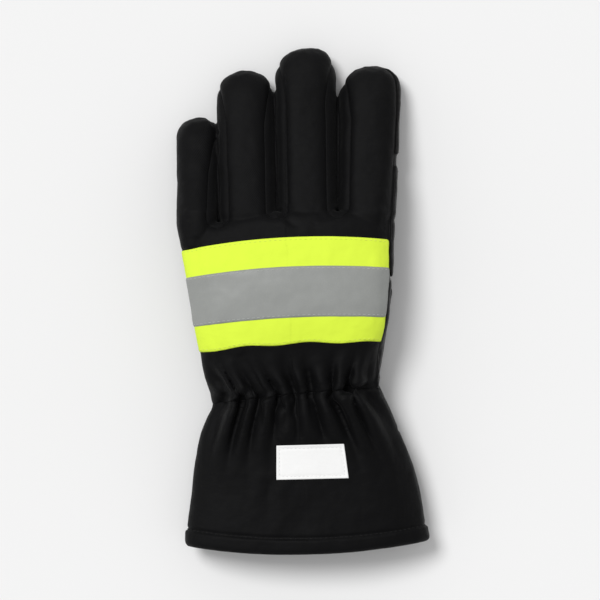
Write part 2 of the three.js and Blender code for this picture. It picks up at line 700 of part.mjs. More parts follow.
// Height of the back of the cuff at a place, on the ring of points that the solid is made from
function backHeight(x, y) {
  const ring = bodyRing(y, 0);
  const next = ring.findIndex((p) => p.x >= x);
  const [a, b] = [ring[next - 1], ring[next]];
  return mix(a.z, b.z, (x - a.x) / (b.x - a.x));
}

function labelSolid() {
  const middle = sectionAt(WRIST).middle + LABEL_SIDE;
  const columns = 8;
  const rows = 3;
  const grid = (lift) => {
    const points = [];
    for (let r = 0; r <= rows; r += 1) {
      const y = WRIST - LABEL_DROP + LABEL_DEPTH * (r / rows - 0.5);
      const row = [];
      for (let c = 0; c <= columns; c += 1) {
        const x = middle + LABEL_WIDTH * (c / columns - 0.5);
        row.push(new THREE.Vector3(x, y, backHeight(x, y) + lift));
      }
      points.push(row);
    }
    return points;
  };
  return thickSheet(grid(LABEL_GAP + LABEL_THICKNESS), grid(LABEL_GAP));
}

// The largest piece of a solid, without the crumbs that a cut leaves
function largest(solid) {
  const bodies = solid.decompose();
  return bodies.reduce((best, body) => (body.volume() > best.volume() ? body : best));
}

// The whole wall of the glove
const fingersOut = PLACED_FINGERS.map((finger) => fingerSolid(finger, 0));
const fingersIn = PLACED_FINGERS.map((finger) => fingerSolid(finger, -HAND_WALL, INSIDE));
const join = (solids) => solids.reduce((sum, part) => sum.add(part));
const thumbHollow = thumbSolid(-HAND_WALL).add(thumbPassage());
const shell = join([bodySolid(0), ...fingersOut])
  .subtract(join([bodyHollow(), ...fingersIn]))
  .subtract(thumbHollow);

const backWall = shell.intersect(aboveSeam());
const palmWall = shell.intersect(belowSeam());
const halfGap = SEAM_GAP / 2;
const stripsOut = join([0, 1, 2].map((i) => fourchetteCutter(i, SEAM_GAP)));
const cuffWall = acrossCut(PALM_SEAM, 1, halfGap);
const handBack = largest(backWall.intersect(acrossCut(WRIST, 1, halfGap)).subtract(stripsOut));
const cuffBack = backWall.intersect(acrossCut(WRIST, -1, halfGap));
const cuffPalm = palmWall.intersect(acrossCut(PALM_SEAM, -1, halfGap));

// The thumb: what lies outside the hand's own wall, and the hand's side over the thumb's root
const thumbRoot = (gap) => {
  const inner = INDEX_EDGE - THUMB_ROOT_REACH * THUMB_REACH - gap;
  const upper = WRIST + THUMB_ROOT_ALONG * PALM_LENGTH + gap;
  const outline = [
    new THREE.Vector2(inner, -FAR),
    new THREE.Vector2(FAR, -FAR),
    new THREE.Vector2(FAR, upper),
    new THREE.Vector2(inner, upper),
  ];
  return prism(outline, -FAR, FAR);
};
const rootBlock = thumbRoot(0);
const rootInside = rootBlock.intersect(belowSeam()).intersect(cuffWall);
const rootOutside = thumbRoot(SEAM_GAP).intersect(belowSeam(SEAM_GAP));
const palmPiece = palmWall.intersect(cuffWall).subtract(stripsOut).subtract(rootOutside);
const thumbWall = thumbSolid(0)
  .add(thumbPassage(HAND_WALL))
  .intersect(belowSeam())
  .intersect(cuffWall)
  .add(bodySolid(0).intersect(rootInside))
  .subtract(join([bodyHollow(), thumbHollow]))
  .subtract(bodySolid(SEAM_GAP).subtract(rootBlock));
const thumbOutline = [
  ...THUMB_SEAM.map(({ reach, along }) => thumbPlace(reach, along)),
  new THREE.Vector2(FAR, WRIST - 0.25 * PALM_LENGTH),
  new THREE.Vector2(FAR, WRIST + 0.8 * PALM_LENGTH),
];
const thumbPrism = prism(thumbOutline, -FAR, THUMB_HEIGHT / 2).add(rootInside);
const thumbPrismOut = join(
  [-1, 0, 1].flatMap((i) =>
    [-1, 0, 1].map((j) => thumbPrism.translate([i * SEAM_GAP, j * SEAM_GAP, SEAM_GAP])),
  ),
);

const patchSkin = skin(SEAM_GAP, PATCH_STACK).intersect(belowSeam());
const collarClear = thumbPassage(HAND_WALL + SEAM_GAP);
const thumbClear = join([thumbSolid(SEAM_GAP), collarClear, rootOutside]);
const palmPatch = patchSkin
  .intersect(prism(palmPatchOutline(), -FAR, FAR))
  .subtract(thumbClear)
  .subtract(stripsOut)
  .subtract(join([0, 1, 2].map((i) => fingerSolid(PLACED_FINGERS[i], SEAM_GAP))));
const tipPatch = patchSkin.intersect(prism(tipPatchOutline(), -FAR, FAR)).subtract(stripsOut);
const heelPatch = bodySolid(PATCH_STACK)
  .subtract(bodySolid(SEAM_GAP))
  .intersect(prism(heelPatchOutline(), -FAR, CUFF_HEIGHT / 3))
  .intersect(acrossCut(PALM_SEAM, -1, halfGap));

// Materials
const finish = (color, roughness, metalness = 0) =>
  new THREE.MeshStandardMaterial({ color, roughness, metalness });
const blackFabric = finish(0x1b1b1d, 0.85);
const blackLeather = finish(0x1f1f20, 0.7);
const yellowFabric = finish(0xdfff30, 0.6);
const silverTape = finish(0xa5a9a6, 0.35, 0.4);
const whiteFabric = finish(0xf0f0ee, 0.8);

const glove = new THREE.Group();

function addPiece(name, solid, material) {
  const mesh = solid.getMesh();
  const geometry = new THREE.BufferGeometry();
  const position = new Float32Array(mesh.numVert * 3);
  for (let i = 0; i < mesh.numVert; i += 1) {
    position.set(mesh.vertProperties.subarray(i * mesh.numProp, i * mesh.numProp + 3), i * 3);
  }
  geometry.setAttribute("position", new THREE.BufferAttribute(position, 3));
  geometry.setIndex(new THREE.BufferAttribute(mesh.triVerts, 1));
  const piece = new THREE.Mesh(geometry.toNonIndexed(), material);
  piece.geometry.computeVertexNormals();
  piece.name = name;
  glove.add(piece);
}

addPiece("hand_back", handBack, blackFabric);
addPiece("palm", palmPiece, blackLeather);
[0, 1, 2].forEach((i) => {
  const name = "fourchette_" + PLACED_FINGERS[i + 1].name + "_" + PLACED_FINGERS[i].name;
  addPiece(name, shell.intersect(fourchetteCutter(i, 0)), blackFabric);
});
addPiece("thumb_outer", largest(thumbWall.intersect(thumbPrism)), blackLeather);
addPiece("thumb_inner", largest(thumbWall.subtract(thumbPrismOut)), blackLeather);
addPiece("cuff_back", cuffBack, blackFabric);
addPiece("cuff_palm", cuffPalm, blackLeather);
const bandLow = WRIST + BAND_RISE;
addPiece("band", backStrip(bandLow, bandLow + BAND_WIDTH, SEAM_GAP, BAND_THICKNESS), yellowFabric);
const stripLow = bandLow + STRIP_RISE;
const stripGap = SEAM_GAP + BAND_THICKNESS + SEAM_GAP;
const strip = backStrip(stripLow, stripLow + STRIP_WIDTH, stripGap, STRIP_THICKNESS);
addPiece("reflective_strip", strip, silverTape);
addPiece("label", labelSolid(), whiteFabric);
addPiece("index_tip_patch", tipPatch, blackLeather);
addPiece("palm_patch", palmPatch, blackLeather);
addPiece("heel_patch", heelPatch, blackLeather);

// The origin is under the middle of the whole glove
const box = new THREE.Box3().setFromObject(glove);
glove.position.set(-(box.min.x + box.max.x) / 2, -(box.min.y + box.max.y) / 2, -box.min.z);

export default glove;
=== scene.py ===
"""A left-hand firefighter glove that lies palm down, with its thumb folded under the palm.

Shapes are worked out in millimetres, from the solids' driving sizes, a few of them fitted anew: x to
the index finger's side, y to the fingertips, z up. They become metres where a mesh is made.
"""

import math

import bmesh
import bpy
import numpy as np
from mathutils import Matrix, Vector, noise
from mathutils.bvhtree import BVHTree
from mathutils.kdtree import KDTree
from numpy.linalg import norm


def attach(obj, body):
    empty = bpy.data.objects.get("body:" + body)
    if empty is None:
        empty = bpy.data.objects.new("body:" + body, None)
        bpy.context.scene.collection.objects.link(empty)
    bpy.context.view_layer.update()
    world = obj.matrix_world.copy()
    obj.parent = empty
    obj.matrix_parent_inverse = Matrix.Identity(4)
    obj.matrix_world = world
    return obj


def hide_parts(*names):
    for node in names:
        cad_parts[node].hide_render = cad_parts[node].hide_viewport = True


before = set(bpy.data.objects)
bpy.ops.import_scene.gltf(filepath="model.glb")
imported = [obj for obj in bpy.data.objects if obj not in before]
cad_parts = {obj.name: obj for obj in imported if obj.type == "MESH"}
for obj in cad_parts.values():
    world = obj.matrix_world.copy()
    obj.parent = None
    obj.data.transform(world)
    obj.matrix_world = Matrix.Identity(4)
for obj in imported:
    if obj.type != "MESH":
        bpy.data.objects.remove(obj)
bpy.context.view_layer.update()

# Driving sizes, in millimetres
CUFF_LENGTH = 103
PALM_LENGTH = 115.5
CUFF_WIDTH = 156.5
WRIST_WIDTH = 110.6
CUFF_HEIGHT = 41
WRIST_HEIGHT = 36
HAND_HEIGHT = 32
PALM_SEAM_DROP = 28.5
FINGERS_WIDTH = 138.2
FINGER_LENGTH = 106.5
FINGER_HEIGHT = 26
FINGER_GAP = 2
ROOT_SHARE = 0.98
THUMB_HEIGHT = 22
THUMB_REACH = 101
FLOOR_LIFT = 1.5  # underside of the cuff and the index finger, above the surface
PALM_LIFT = THUMB_HEIGHT + 0.6 + FLOOR_LIFT
HEM_DEPTH = 10.7
BAND_WIDTH = 67
BAND_RISE = 32
STRIP_WIDTH = 32
STRIP_RISE = 16.5
LABEL_WIDTH = 45
LABEL_DEPTH = 22
LABEL_THICKNESS = 0.6
LABEL_HEM = 1.9  # from the label's edge to its stitches
LABEL_CORNERS = [(-16.3, -114.2), (29.6, -113.2), (26.6, -91.4), (-16.3, -92.5)]  # from below left
GATHER_DEPTH = 6.5
GATHER_ABOVE = 28
GATHER_BELOW = 56
X_SHIFT = 1.34  # from the sections' middle line to the middle of the box
VOXEL = 1.0
WALL = 2.6
CUT_OFF = 9  # length past the hem, which the cuff's edge cuts off again
BODY_SIDES = 320
FINGER_SIDES = 128
THUMB_SIDES = 120
RING_STEP = 1.2
KNUCKLE_ROUND = 6  # length over which the tube closes at the knuckles
RIDGE_POWER = 1.1  # how sharp the gathers' ridges are
GATHER_SINK = 0.3  # how far a valley sinks, in shares of its ridge
SLIM_LITTLE = 2.6  # off the hand's little side, which the padding and the band fill up again
SLIM_INDEX = 0.6
LITTLE_SLIM = 0.5  # off both sides of the little finger's root, which moves inwards as much
# How far each finger's lower half bulges towards its neighbours: to the little, to the index finger's side
BULGE = [(0, 0.9), (0.9, 1.3), (1.3, 1.5), (2.5, 0)]
TIP_PRESS = 3.5  # how far the floor presses a fingertip flat
DOME = 0.54  # length of a fingertip's dome, in shares of the finger's width
TIP_POWER = 2.5
FINGER_CORNER = 0.82  # powers that square the sections off
THUMB_CORNER = 0.85
THUMB_SAG = 0.9  # how far below the tube's underside the thumb starts
TIP_CLEAR = 9  # from a fingertip to the end of its side walls
FOLD_SCALE = 1.5
FOLD_FLOOR = -1.9  # the deepest a fold goes, before its scale
LUMPS = [(0.7, 30, 3.1), (0.42, 12, 7.7), (0.16, 5, 1.3)]  # height, size, seed
PUFF_REACH = 14  # from a seam to where its panel stands full
BORDER_STEP = 0.5  # the furthest a border point moves at a time
INNER_FLOOR = 0.03  # the lowest place of a panel's inner side
FAR = 300
OUTSIDE = -9.0
INSIDE = 9.0
MM = 0.001

# The cloth simulation
SIM_VOXEL = 4.0
SIM_FRAMES = 20
SIM_REACH = 1.6  # the furthest a point may move
SIM_SHARES = (0.15, 0.15, 1)  # of the move that stays: the photo settles the outline

# A stitch's rings
STITCH_SHARES = np.array([0.0, 0.14, 0.5, 0.86, 1.0])
STITCH_WIDTHS = np.array([0.25, 0.85, 1.0, 0.85, 0.25])
STITCH_RINGS = len(STITCH_SHARES)
STITCH_SIDES = 6

# name, share of the fingers' width, share of the middle finger's length, lean in shares of its width,
# how far the tip's peak lies to the index finger's side
FINGERS = [
    ("little", 0.199, 0.573, 0.03, 2),
    ("ring", 0.262, 0.859, -0.07, 2),
    ("middle", 0.271, 1, -0.045, 5),
    ("index", 0.268, 0.883, 0.08, 0),
]

# zone, at, spread, side, lift, height, tilt, bow, power
SECTIONS = [
    ("cuff", 0, 1, 0.025, -0.11, 1, 0.0225, 0.081, 2.3),
    ("cuff", 0.42, 0.755, 0.016, -0.11, 1.02, 0.01, 0.08, 2.3),
    ("cuff", 0.73, 0.42, -0.009, 0.06, 0.97, 0.05, 0.03, 2.4),
    ("cuff", 0.88, 0.185, -0.018, 0.17, 0.94, 0.075, 0, 2.45),
    ("wrist", 1, 0, -0.025, 0.3, 1, 0.1, -0.03, 2.5),
    ("hand", 0.19, 0.26, -0.048, 0.6, 1.09, 0.06, -0.04, 2.6),
    ("hand", 0.42, 0.58, -0.05, 0.92, 1.04, 0.05, -0.05, 2.6),
    ("hand", 0.66, 0.77, -0.062, 1, 1, 0.05, -0.06, 2.6),
    ("hand", 0.82, 0.88, -0.07, 1, 0.96, 0.05, -0.07, 2.6),
    ("hand", 0.92, 0.96, -0.074, 0.96, 0.93, 0.06, -0.09, 2.6),
    ("hand", 1, 1, -0.075, 0.88, 0.88, 0.07, -0.1, 2.5),
]

# Valleys of the gathers: wrist, above, below, depth
GATHERS = [
    (-0.8, -0.93, -0.9, 0.7),
    (-0.64, -0.8, -0.7, 1),
    (-0.45, -0.62, -0.52, 0.9),
    (-0.23, -0.38, -0.3, 1),
    (-0.02, -0.1, -0.02, 0.7),
    (0.19, 0.14, 0.26, 0.85),
    (0.42, 0.46, 0.52, 1),
    (0.6, 0.7, 0.72, 0.9),
    (0.8, 0.88, 0.9, 0.7),
]
GATHER_SWELL = [(-1, 0), (-0.7, 0.25), (-0.4, 0.7), (-0.14, 1), (0, 0.75), (0.25, 0.85), (0.6, 0.4), (1, 0)]

# up reach, up along, low reach, low along, height, lift
THUMB_SECTIONS = [
    (0.99, 0.66, 1, 0.58, 0.42, 0.29),
    (0.955, 0.735, 0.99, 0.5, 0.76, 0.1),
    (0.87, 0.79, 0.945, 0.42, 0.95, 0),
    (0.71, 0.8, 0.85, 0.33, 1, 0),
    (0.56, 0.74, 0.69, 0.2, 1, 0),
    (0.43, 0.68, 0.54, 0.07, 1, 0),
    (0.27, 0.66, 0.39, -0.07, 1, 0),
    (0.14, 0.65, 0.27, -0.18, 1.2, 0),
    (0.06, 0.64, 0.19, -0.21, 1.5, 0.04),
    (0.02, 0.57, 0.13, -0.16, 1.35, 0.3),
]
THUMB_SEAM = [
    (0.37, 0.8), (0.37, 0.65), (0.7, 0.625), (0.745, 0.63), (0.9, 0.455),
    (0.76, 0.315), (0.51, 0.095), (0.34, -0.07), (0.26, -0.25),
]
THUMB_ROOT_REACH = 0.1
THUMB_ROOT_ALONG = 0.64

# Upper edge of the palm patch: across from the index side, along the palm
PALM_PATCH_EDGE = [
    (0.075, 1.26), (0.11, 1.15), (0.15, 1.03), (0.2, 0.94), (0.27, 0.895),
    (0.42, 0.88), (0.5, 0.895), (0.75, 0.91), (0.95, 0.88),
]

# Folds on the back: from the wrist line or a crotch outwards, start, bend and end in plan, depth, width
BACK_FOLDS = [
    (-45.5, -58.5, -51, -52, -57, -44, 1.6, 1.6),
    (-34.5, -58.5, -36.5, -53, -44.5, -40, 1.2, 1.4),
    (-24.3, -59, -31, -47, -39.2, -33.5, 2, 2),
    (-14.3, -59.5, -16.5, -55, -20, -50.8, 1, 1.3),
    (-4.7, -60.5, -6, -54, -8.5, -48, 1, 1.3),
    (5, -60.5, 4.4, -52, 3, -44, 0.9, 1.4),
    (19.4, -59.5, 18.8, -54, 17.4, -48, 1, 1.3),
    (26, -58, 27, -53, 24.2, -42, 1.5, 2),
    (29, -56.6, 30, -51, 31.8, -44, 1.2, 1.4),
    (36.6, -56, 43, -53.5, 50, -51.8, 1.2, 1.5),
    (-48.8, -61, -55.5, -78, -61, -112, 1.4, 1.9),
    (-37.8, -61.4, -38.5, -70, -45.9, -99.8, 1.4, 1.8),
    (-26.7, -62.3, -26, -72, -25.8, -83.5, 1.1, 1.4),
    (-15.2, -62.3, -10.4, -72.9, -14.2, -87.3, 1.9, 1.6),
    (-8.5, -62.3, -7, -69, -5.6, -75.8, 1, 1.3),
    (-3.7, -62.3, -5, -68, -6, -73.9, 0.8, 1.1),
    (5, -61.4, 6, -72, 7.8, -83.5, 1.1, 1.5),
    (17.4, -61.4, 24.2, -72.9, 37.6, -100.7, 2, 2),
    (30.9, -56.6, 43.3, -63.3, 62.5, -87.3, 1.8, 2),
    (-12.4, 54.3, -6, 48.5, -0.6, 45, 0.9, 1.5),
    (22.9, 55.5, 16, 52.5, 8.8, 53.1, 0.8, 1.4),
    (-20.6, -118, -21.4, -134, -21, -149, 0.6, 2.6),
]
PALM_FOLDS = [
    (-58, -56, -68, -50, -79, -46, 2, 4),
    (-27, -67.5, -33, -77, -42.6, -86, 1.2, 3),
    (31.5, 14.8, 42, 19, 52.6, 26.5, 1.4, 3),
    (15, 48.9, 0, 46, -18, 45.4, 0.8, 2.5),
]

# Sizes that follow
HEM = -(CUFF_LENGTH + PALM_LENGTH + FINGER_LENGTH) / 2
WRIST = HEM + CUFF_LENGTH
KNUCKLE = WRIST + PALM_LENGTH
PALM_SEAM = WRIST - PALM_SEAM_DROP
KNUCKLE_WIDTH = FINGERS_WIDTH * ROOT_SHARE + (len(FINGERS) - 1) * FINGER_GAP
KNUCKLE_MIDDLE = SECTIONS[-1][3] * KNUCKLE_WIDTH
INDEX_EDGE = KNUCKLE_MIDDLE + KNUCKLE_WIDTH / 2
ZONES = {
    "cuff": (HEM, CUFF_LENGTH, CUFF_WIDTH, CUFF_HEIGHT),
    "wrist": (HEM, CUFF_LENGTH, CUFF_WIDTH, WRIST_HEIGHT),
    "hand": (WRIST, PALM_LENGTH, KNUCKLE_WIDTH, HAND_HEIGHT),
}


def hermite(at, values, places):
    """Smooth curve through values at places, each column by itself."""
    at = np.asarray(at, float)
    values = np.asarray(values, float)
    slopes = np.diff(values, axis=0) / np.diff(at)[:, None]
    tangents = np.vstack([slopes[:1], (slopes[1:] + slopes[:-1]) / 2, slopes[-1:]])
    places = np.clip(places, at[0], at[-1])
    i = np.clip(np.searchsorted(at, places, side="right") - 1, 0, len(at) - 2)
    step = (at[i + 1] - at[i])[..., None]
    p = (places - at[i])[..., None] / step
    start = (1 + 2 * p) * (1 - p) ** 2 * values[i] + p * (1 - p) ** 2 * step * tangents[i]
    end = p ** 2 * (3 - 2 * p) * values[i + 1] + p ** 2 * (p - 1) * step * tangents[i + 1]
    return start + end


def smoothstep(x, low, high):
    t = np.clip((x - low) / (high - low), 0, 1)
    return t * t * (3 - 2 * t)


def mix(a, b, t):
    return a + (b - a) * t


def powered(value, power):
    """A power of a value's size that keeps its sign."""
    return np.sign(value) * np.abs(value) ** power


def turn(sides):
    """Cosines and sines round a section."""
    angle = np.linspace(0, 2 * np.pi, sides, endpoint=False)
    return np.cos(angle), np.sin(angle)


def within(*depths):
    """Depth in what several depths share."""
    return np.minimum.reduce(depths)


def section_columns(row):
    zone, at, spread, side, lift, height, tilt, bow, power = row
    start, length, full, high = ZONES[zone]
    width = WRIST_WIDTH + spread * (full - WRIST_WIDTH)
    bottom = FLOOR_LIFT + lift * (PALM_LIFT - FLOOR_LIFT)
    columns = [width, side * KNUCKLE_WIDTH, bottom, height * high, tilt * width / 2, bow * width / 2, power]
    return start + at * length, columns


SECTION_AT, SECTION_VALUES = zip(*map(section_columns, SECTIONS))


def section(y):
    """Width, middle, bottom, height, tilt, bow and power of the tube at places along it."""
    return np.moveaxis(hermite(SECTION_AT, SECTION_VALUES, np.asarray(y, float)), -1, 0)


def soft_floor(z, floor, softness=1.2):
    """z, pressed flat on a floor with a soft edge."""
    return floor + softness * np.logaddexp(0, (z - floor) / softness)


def gathers(share, y):
    """Height of the gathered folds of the back round the wrist line."""
    reach = np.where(y < WRIST, GATHER_BELOW, GATHER_ABOVE)
    level = np.clip((y - WRIST) / reach, -1, 1)
    at, swell = zip(*GATHER_SWELL)
    height = hermite(at, [[v] for v in swell], level)[..., 0] * GATHER_DEPTH
    places = [mix(row[0], np.where(y < WRIST, row[2], row[1]), np.abs(level)) for row in GATHERS]
    rise = np.zeros(np.broadcast(share, y).shape)
    for k in range(len(places) - 1):
        phase = (share - places[k]) / (places[k + 1] - places[k])
        inside = (phase >= 0) & (phase <= 1)
        depth = mix(GATHERS[k][3], GATHERS[k + 1][3], np.clip(phase, 0, 1))
        ridge = np.sin(np.pi * np.clip(phase, 0, 1)) ** RIDGE_POWER
        rise = np.where(inside, height * depth * ((1 + GATHER_SINK) * ridge - GATHER_SINK), rise)
    outside = np.minimum(share - places[0], 0) + np.minimum(places[-1] - share, 0)
    return np.where(outside < 0, -GATHER_SINK * height * np.exp(outside * 18), rise)


def outline_depth(x, y, outline):
    """Distance into a closed outline in plan: positive inside."""
    outline = np.asarray(outline, float)
    best = np.full(np.shape(x), 1e9)
    inside = np.zeros(np.shape(x), bool)
    for (ax, ay), (bx, by) in zip(outline, np.roll(outline, -1, 0)):
        dx, dy = bx - ax, by - ay
        t = np.clip(((x - ax) * dx + (y - ay) * dy) / (dx * dx + dy * dy), 0, 1)
        best = np.minimum(best, np.hypot(x - ax - t * dx, y - ay - t * dy))
        crosses = (ay > y) != (by > y)
        inside ^= crosses & (x < ax + (y - ay) * dx / np.where(dy == 0, 1e-9, dy))
    return np.where(inside, best, -best)


def loose(x, y):
    """How freely the cloth folds: less under the label and round it, where that holds it flat."""
    return 1 - 0.85 * smoothstep(outline_depth(x, y, LABEL_CORNERS), -9, 1)


def body_points(y, inset):
    """Points round the tube, with the gathers on its back."""
    width, middle, bottom, height, tilt, bow, power = section(y)
    c, s = turn(BODY_SIDES)
    share = powered(c, 2 / power)
    rim = powered(s, 2 / power)
    slim = np.where(share < 0, SLIM_LITTLE, SLIM_INDEX) * smoothstep(y, WRIST, WRIST + 40)
    x = middle + share * (width / 2 - inset - slim)
    along = y + tilt * share + bow * share ** 2
    rise = gathers(share, y) * smoothstep(rim, 0.05, 0.5) * loose(x, along)
    z = bottom + height / 2 + rim * (height / 2 - inset) + rise
    return np.stack([x, along, soft_floor(z, FLOOR_LIFT + inset)], -1)


def loft(rings):
    """Vertices and quads of a closed tube through rings, with a fan at each end."""
    rings = np.asarray(rings)
    count, sides = rings.shape[:2]
    verts = np.vstack([rings.reshape(-1, 3), rings[0].mean(0), rings[-1].mean(0)])
    first, last = count * sides, count * sides + 1
    faces = []
    for r in range(count - 1):
        a = r * sides + np.arange(sides)
        b = r * sides + (np.arange(sides) + 1) % sides
        faces += np.stack([a, b, b + sides, a + sides], -1).tolist()
    for i in range(sides):
        j = (i + 1) % sides
        faces.append([first, j, i])
        faces.append([last, (count - 1) * sides + i, (count - 1) * sides + j])
    return verts, faces


def body_loft():
    rings = np.arange(HEM - CUT_OFF, KNUCKLE - KNUCKLE_ROUND, RING_STEP)
    places = np.concatenate([rings, KNUCKLE - KNUCKLE_ROUND * (1 - np.linspace(0, 1, 9))])
    closed = np.clip((places - KNUCKLE + KNUCKLE_ROUND) / KNUCKLE_ROUND, 0, 1)
    inset = 5.5 * (1 - np.sqrt(np.clip(1 - closed ** 2.2, 0, 1)))
    return loft([body_points(y, i) for y, i in zip(places, inset)])


# The fingers' roots across the knuckles
edge = KNUCKLE_MIDDLE - KNUCKLE_WIDTH / 2
ROOT, TIP, WIDE, LONG, PEAK = [], [], [], [], []
for _, wide, long, lean, peak in FINGERS:
    width = wide * FINGERS_WIDTH
    ROOT.append(edge + width * ROOT_SHARE / 2)
    TIP.append(ROOT[-1] + lean * width)
    WIDE.append(width)
    LONG.append(long * FINGER_LENGTH)
    PEAK.append(peak)
    edge += width * ROOT_SHARE + FINGER_GAP
ROOT, TIP, WIDE, LONG = map(np.array, (ROOT, TIP, WIDE, LONG))
ROOT[0] += LITTLE_SLIM
REST = np.array([0, 0, 0, FLOOR_LIFT])  # the fingers' undersides
KNUCKLE_SECTION = section(KNUCKLE)
ROOT_MIDDLE = KNUCKLE_SECTION[2] + KNUCKLE_SECTION[3] / 2


def finger_line(k, y):
    """Place across and height of the middle of finger k."""
    share = np.clip((y - KNUCKLE) / LONG[k], -0.4, 1)
    drop = np.where(share < 0, share * 0.3, np.abs(share) ** 0.9)
    tip_middle = REST[k] + FINGER_HEIGHT / 2 - TIP_PRESS
    return mix(ROOT[k], TIP[k], share), mix(ROOT_MIDDLE, tip_middle, drop)


def finger_half(k, y):
    """Half the width of finger k, without its round tip."""
    along = np.clip((y - KNUCKLE) / LONG[k], 0, 1)
    root = WIDE[k] * ROOT_SHARE - (2 * LITTLE_SLIM if k == 0 else 0)
    return mix(root, WIDE[k], np.minimum(along * 2, 1)) / 2


def knuckle_line(share):
    """Where the tube ends along the glove, at a share of its width."""
    return KNUCKLE + KNUCKLE_SECTION[4] * share + KNUCKLE_SECTION[5] * share ** 2


def finger_loft(k):
    tip = KNUCKLE + LONG[k]
    dome = DOME * WIDE[k]
    end = knuckle_line((ROOT[k] - KNUCKLE_MIDDLE) / (KNUCKLE_WIDTH / 2))
    start = end - 14
    rows = [(start, 0.8), (mix(start, end, 0.75), 0.96)]
    rows += [(y, 1.0) for y in np.arange(end, tip - dome, RING_STEP)]
    for t in np.linspace(0, 1, 26):
        back = (1 - t) ** 1.6
        size = max((1 - (1 - back) ** TIP_POWER) ** (1 / TIP_POWER), 0.3)
        rows.append((tip - back * dome, size))
    c, s = turn(FINGER_SIDES)
    rings = []
    for y, size in rows:
        x0, z0 = finger_line(k, y)
        if y > KNUCKLE:
            x0 += PEAK[k] * (1 - size)
        x = x0 + finger_half(k, y) * size * powered(c, FINGER_CORNER)
        bulge = np.where(c > 0, BULGE[k][1], -BULGE[k][0]) * np.abs(c) ** 0.5
        x = x + bulge * smoothstep(-s, -0.4, 0.4) * smoothstep(tip - y, 10, 20)
        z = z0 + FINGER_HEIGHT / 2 * size ** 0.85 * powered(s, FINGER_CORNER)
        rings.append(np.stack([x, np.full_like(x, y), soft_floor(z, REST[k])], -1))
    return loft(rings)


def thumb_place(reach, along):
    return np.stack([INDEX_EDGE - reach * THUMB_REACH, WRIST + along * PALM_LENGTH], -1)


def thumb_loft():
    rows = np.array(THUMB_SECTIONS)
    places = np.arange(len(rows), dtype=float)
    fine = hermite(places, rows, np.linspace(0, len(rows) - 1, 110))
    up = thumb_place(fine[:, 0], fine[:, 1])
    low = thumb_place(fine[:, 2], fine[:, 3])
    c, s = turn(THUMB_SIDES)
    rings = []
    for k, row in enumerate(fine):
        middle, half = (up[k] + low[k]) / 2, (up[k] - low[k]) / 2
        place = middle + half * powered(c, THUMB_CORNER)[:, None]
        half_height = row[4] * THUMB_HEIGHT / 2
        z = (row[5] + row[4] / 2) * THUMB_HEIGHT + half_height * powered(s, 0.75)
        rings.append(np.column_stack([place, soft_floor(z, 0.0, 0.8)]))
    return loft(rings)


# Meshes

def linked(name, data):
    obj = bpy.data.objects.new(name, data)
    bpy.context.scene.collection.objects.link(obj)
    return obj


def make_object(name, verts, faces):
    """A mesh object, from points in millimetres."""
    mesh = bpy.data.meshes.new(name)
    mesh.from_pydata(((np.asarray(verts) + (X_SHIFT, 0, 0)) * MM).tolist(), [], list(faces))
    mesh.update()
    return linked(name, mesh)


def apply_modifiers(obj):
    made = bpy.data.meshes.new_from_object(obj.evaluated_get(bpy.context.evaluated_depsgraph_get()))
    obj.modifiers.clear()
    old, obj.data = obj.data, made
    bpy.data.meshes.remove(old)


def remesh(obj, voxel):
    modifier = obj.modifiers.new("remesh", "REMESH")
    modifier.mode = "VOXEL"
    modifier.voxel_size = voxel * MM
    apply_modifiers(obj)


def verts_of(mesh):
    flat = np.empty(len(mesh.vertices) * 3)
    mesh.vertices.foreach_get("co", flat)
    return flat.reshape(-1, 3) / MM - (X_SHIFT, 0, 0)


def quads_of(mesh):
    flat = np.empty(len(mesh.loops), np.int64)
    mesh.loops.foreach_get("vertex_index", flat)
    return flat.reshape(-1, 4)


def normals_of(verts, quads):
    a, b, c, d = (verts[quads[:, i]] for i in range(4))
    face = np.cross(c - a, d - b)
    total = np.zeros_like(verts)
    for i in range(4):
        np.add.at(total, quads[:, i], face)
    return total / np.maximum(norm(total, axis=1), 1e-9)[:, None]


def neighbour_means(verts, a, b):
    """The mean of each point's neighbours, along edges from a to b."""
    count = np.maximum(np.bincount(a, minlength=len(verts)), 1)
    return np.stack([np.bincount(a, column[b], minlength=len(verts)) / count for column in verts.T], -1)


def smoothed(verts, quads, rounds, keep=True):
    """Evens out a mesh's surface; keep holds its size."""
    ends = np.vstack([quads[:, [i, (i + 1) % 4]] for i in range(4)])
    a, b = np.vstack([ends, ends[:, ::-1]]).T
    for _ in range(rounds):
        for share in (0.5, -0.52) if keep else (0.5,):
            verts = verts + share * (neighbour_means(verts, a, b) - verts)
    return verts


def capped(moves, reach):
    """Moves, none of them longer than reach."""
    return moves * np.minimum(1, reach / np.maximum(norm(moves, axis=1), 1e-9))[:, None]


def whole_glove():
    """One closed surface over the tube, the fingers and the thumb."""
    lofts = [body_loft(), *[finger_loft(k) for k in range(len(FINGERS))], thumb_loft()]
    verts, faces, start = [], [], 0
    for points, quads in lofts:
        verts.append(points)
        faces += [[start + i for i in face] for face in quads]
        start += len(points)
    obj = make_object("whole", np.vstack(verts), faces)
    bm = bmesh.new()
    bm.from_mesh(obj.data)
    bmesh.ops.recalc_face_normals(bm, faces=bm.faces)
    bm.to_mesh(obj.data)
    bm.free()
    remesh(obj, VOXEL)
    verts, quads = verts_of(obj.data), quads_of(obj.data)
    bpy.data.objects.remove(obj)
    return smoothed(verts, quads, 5), quads


# Where a point lies on the glove

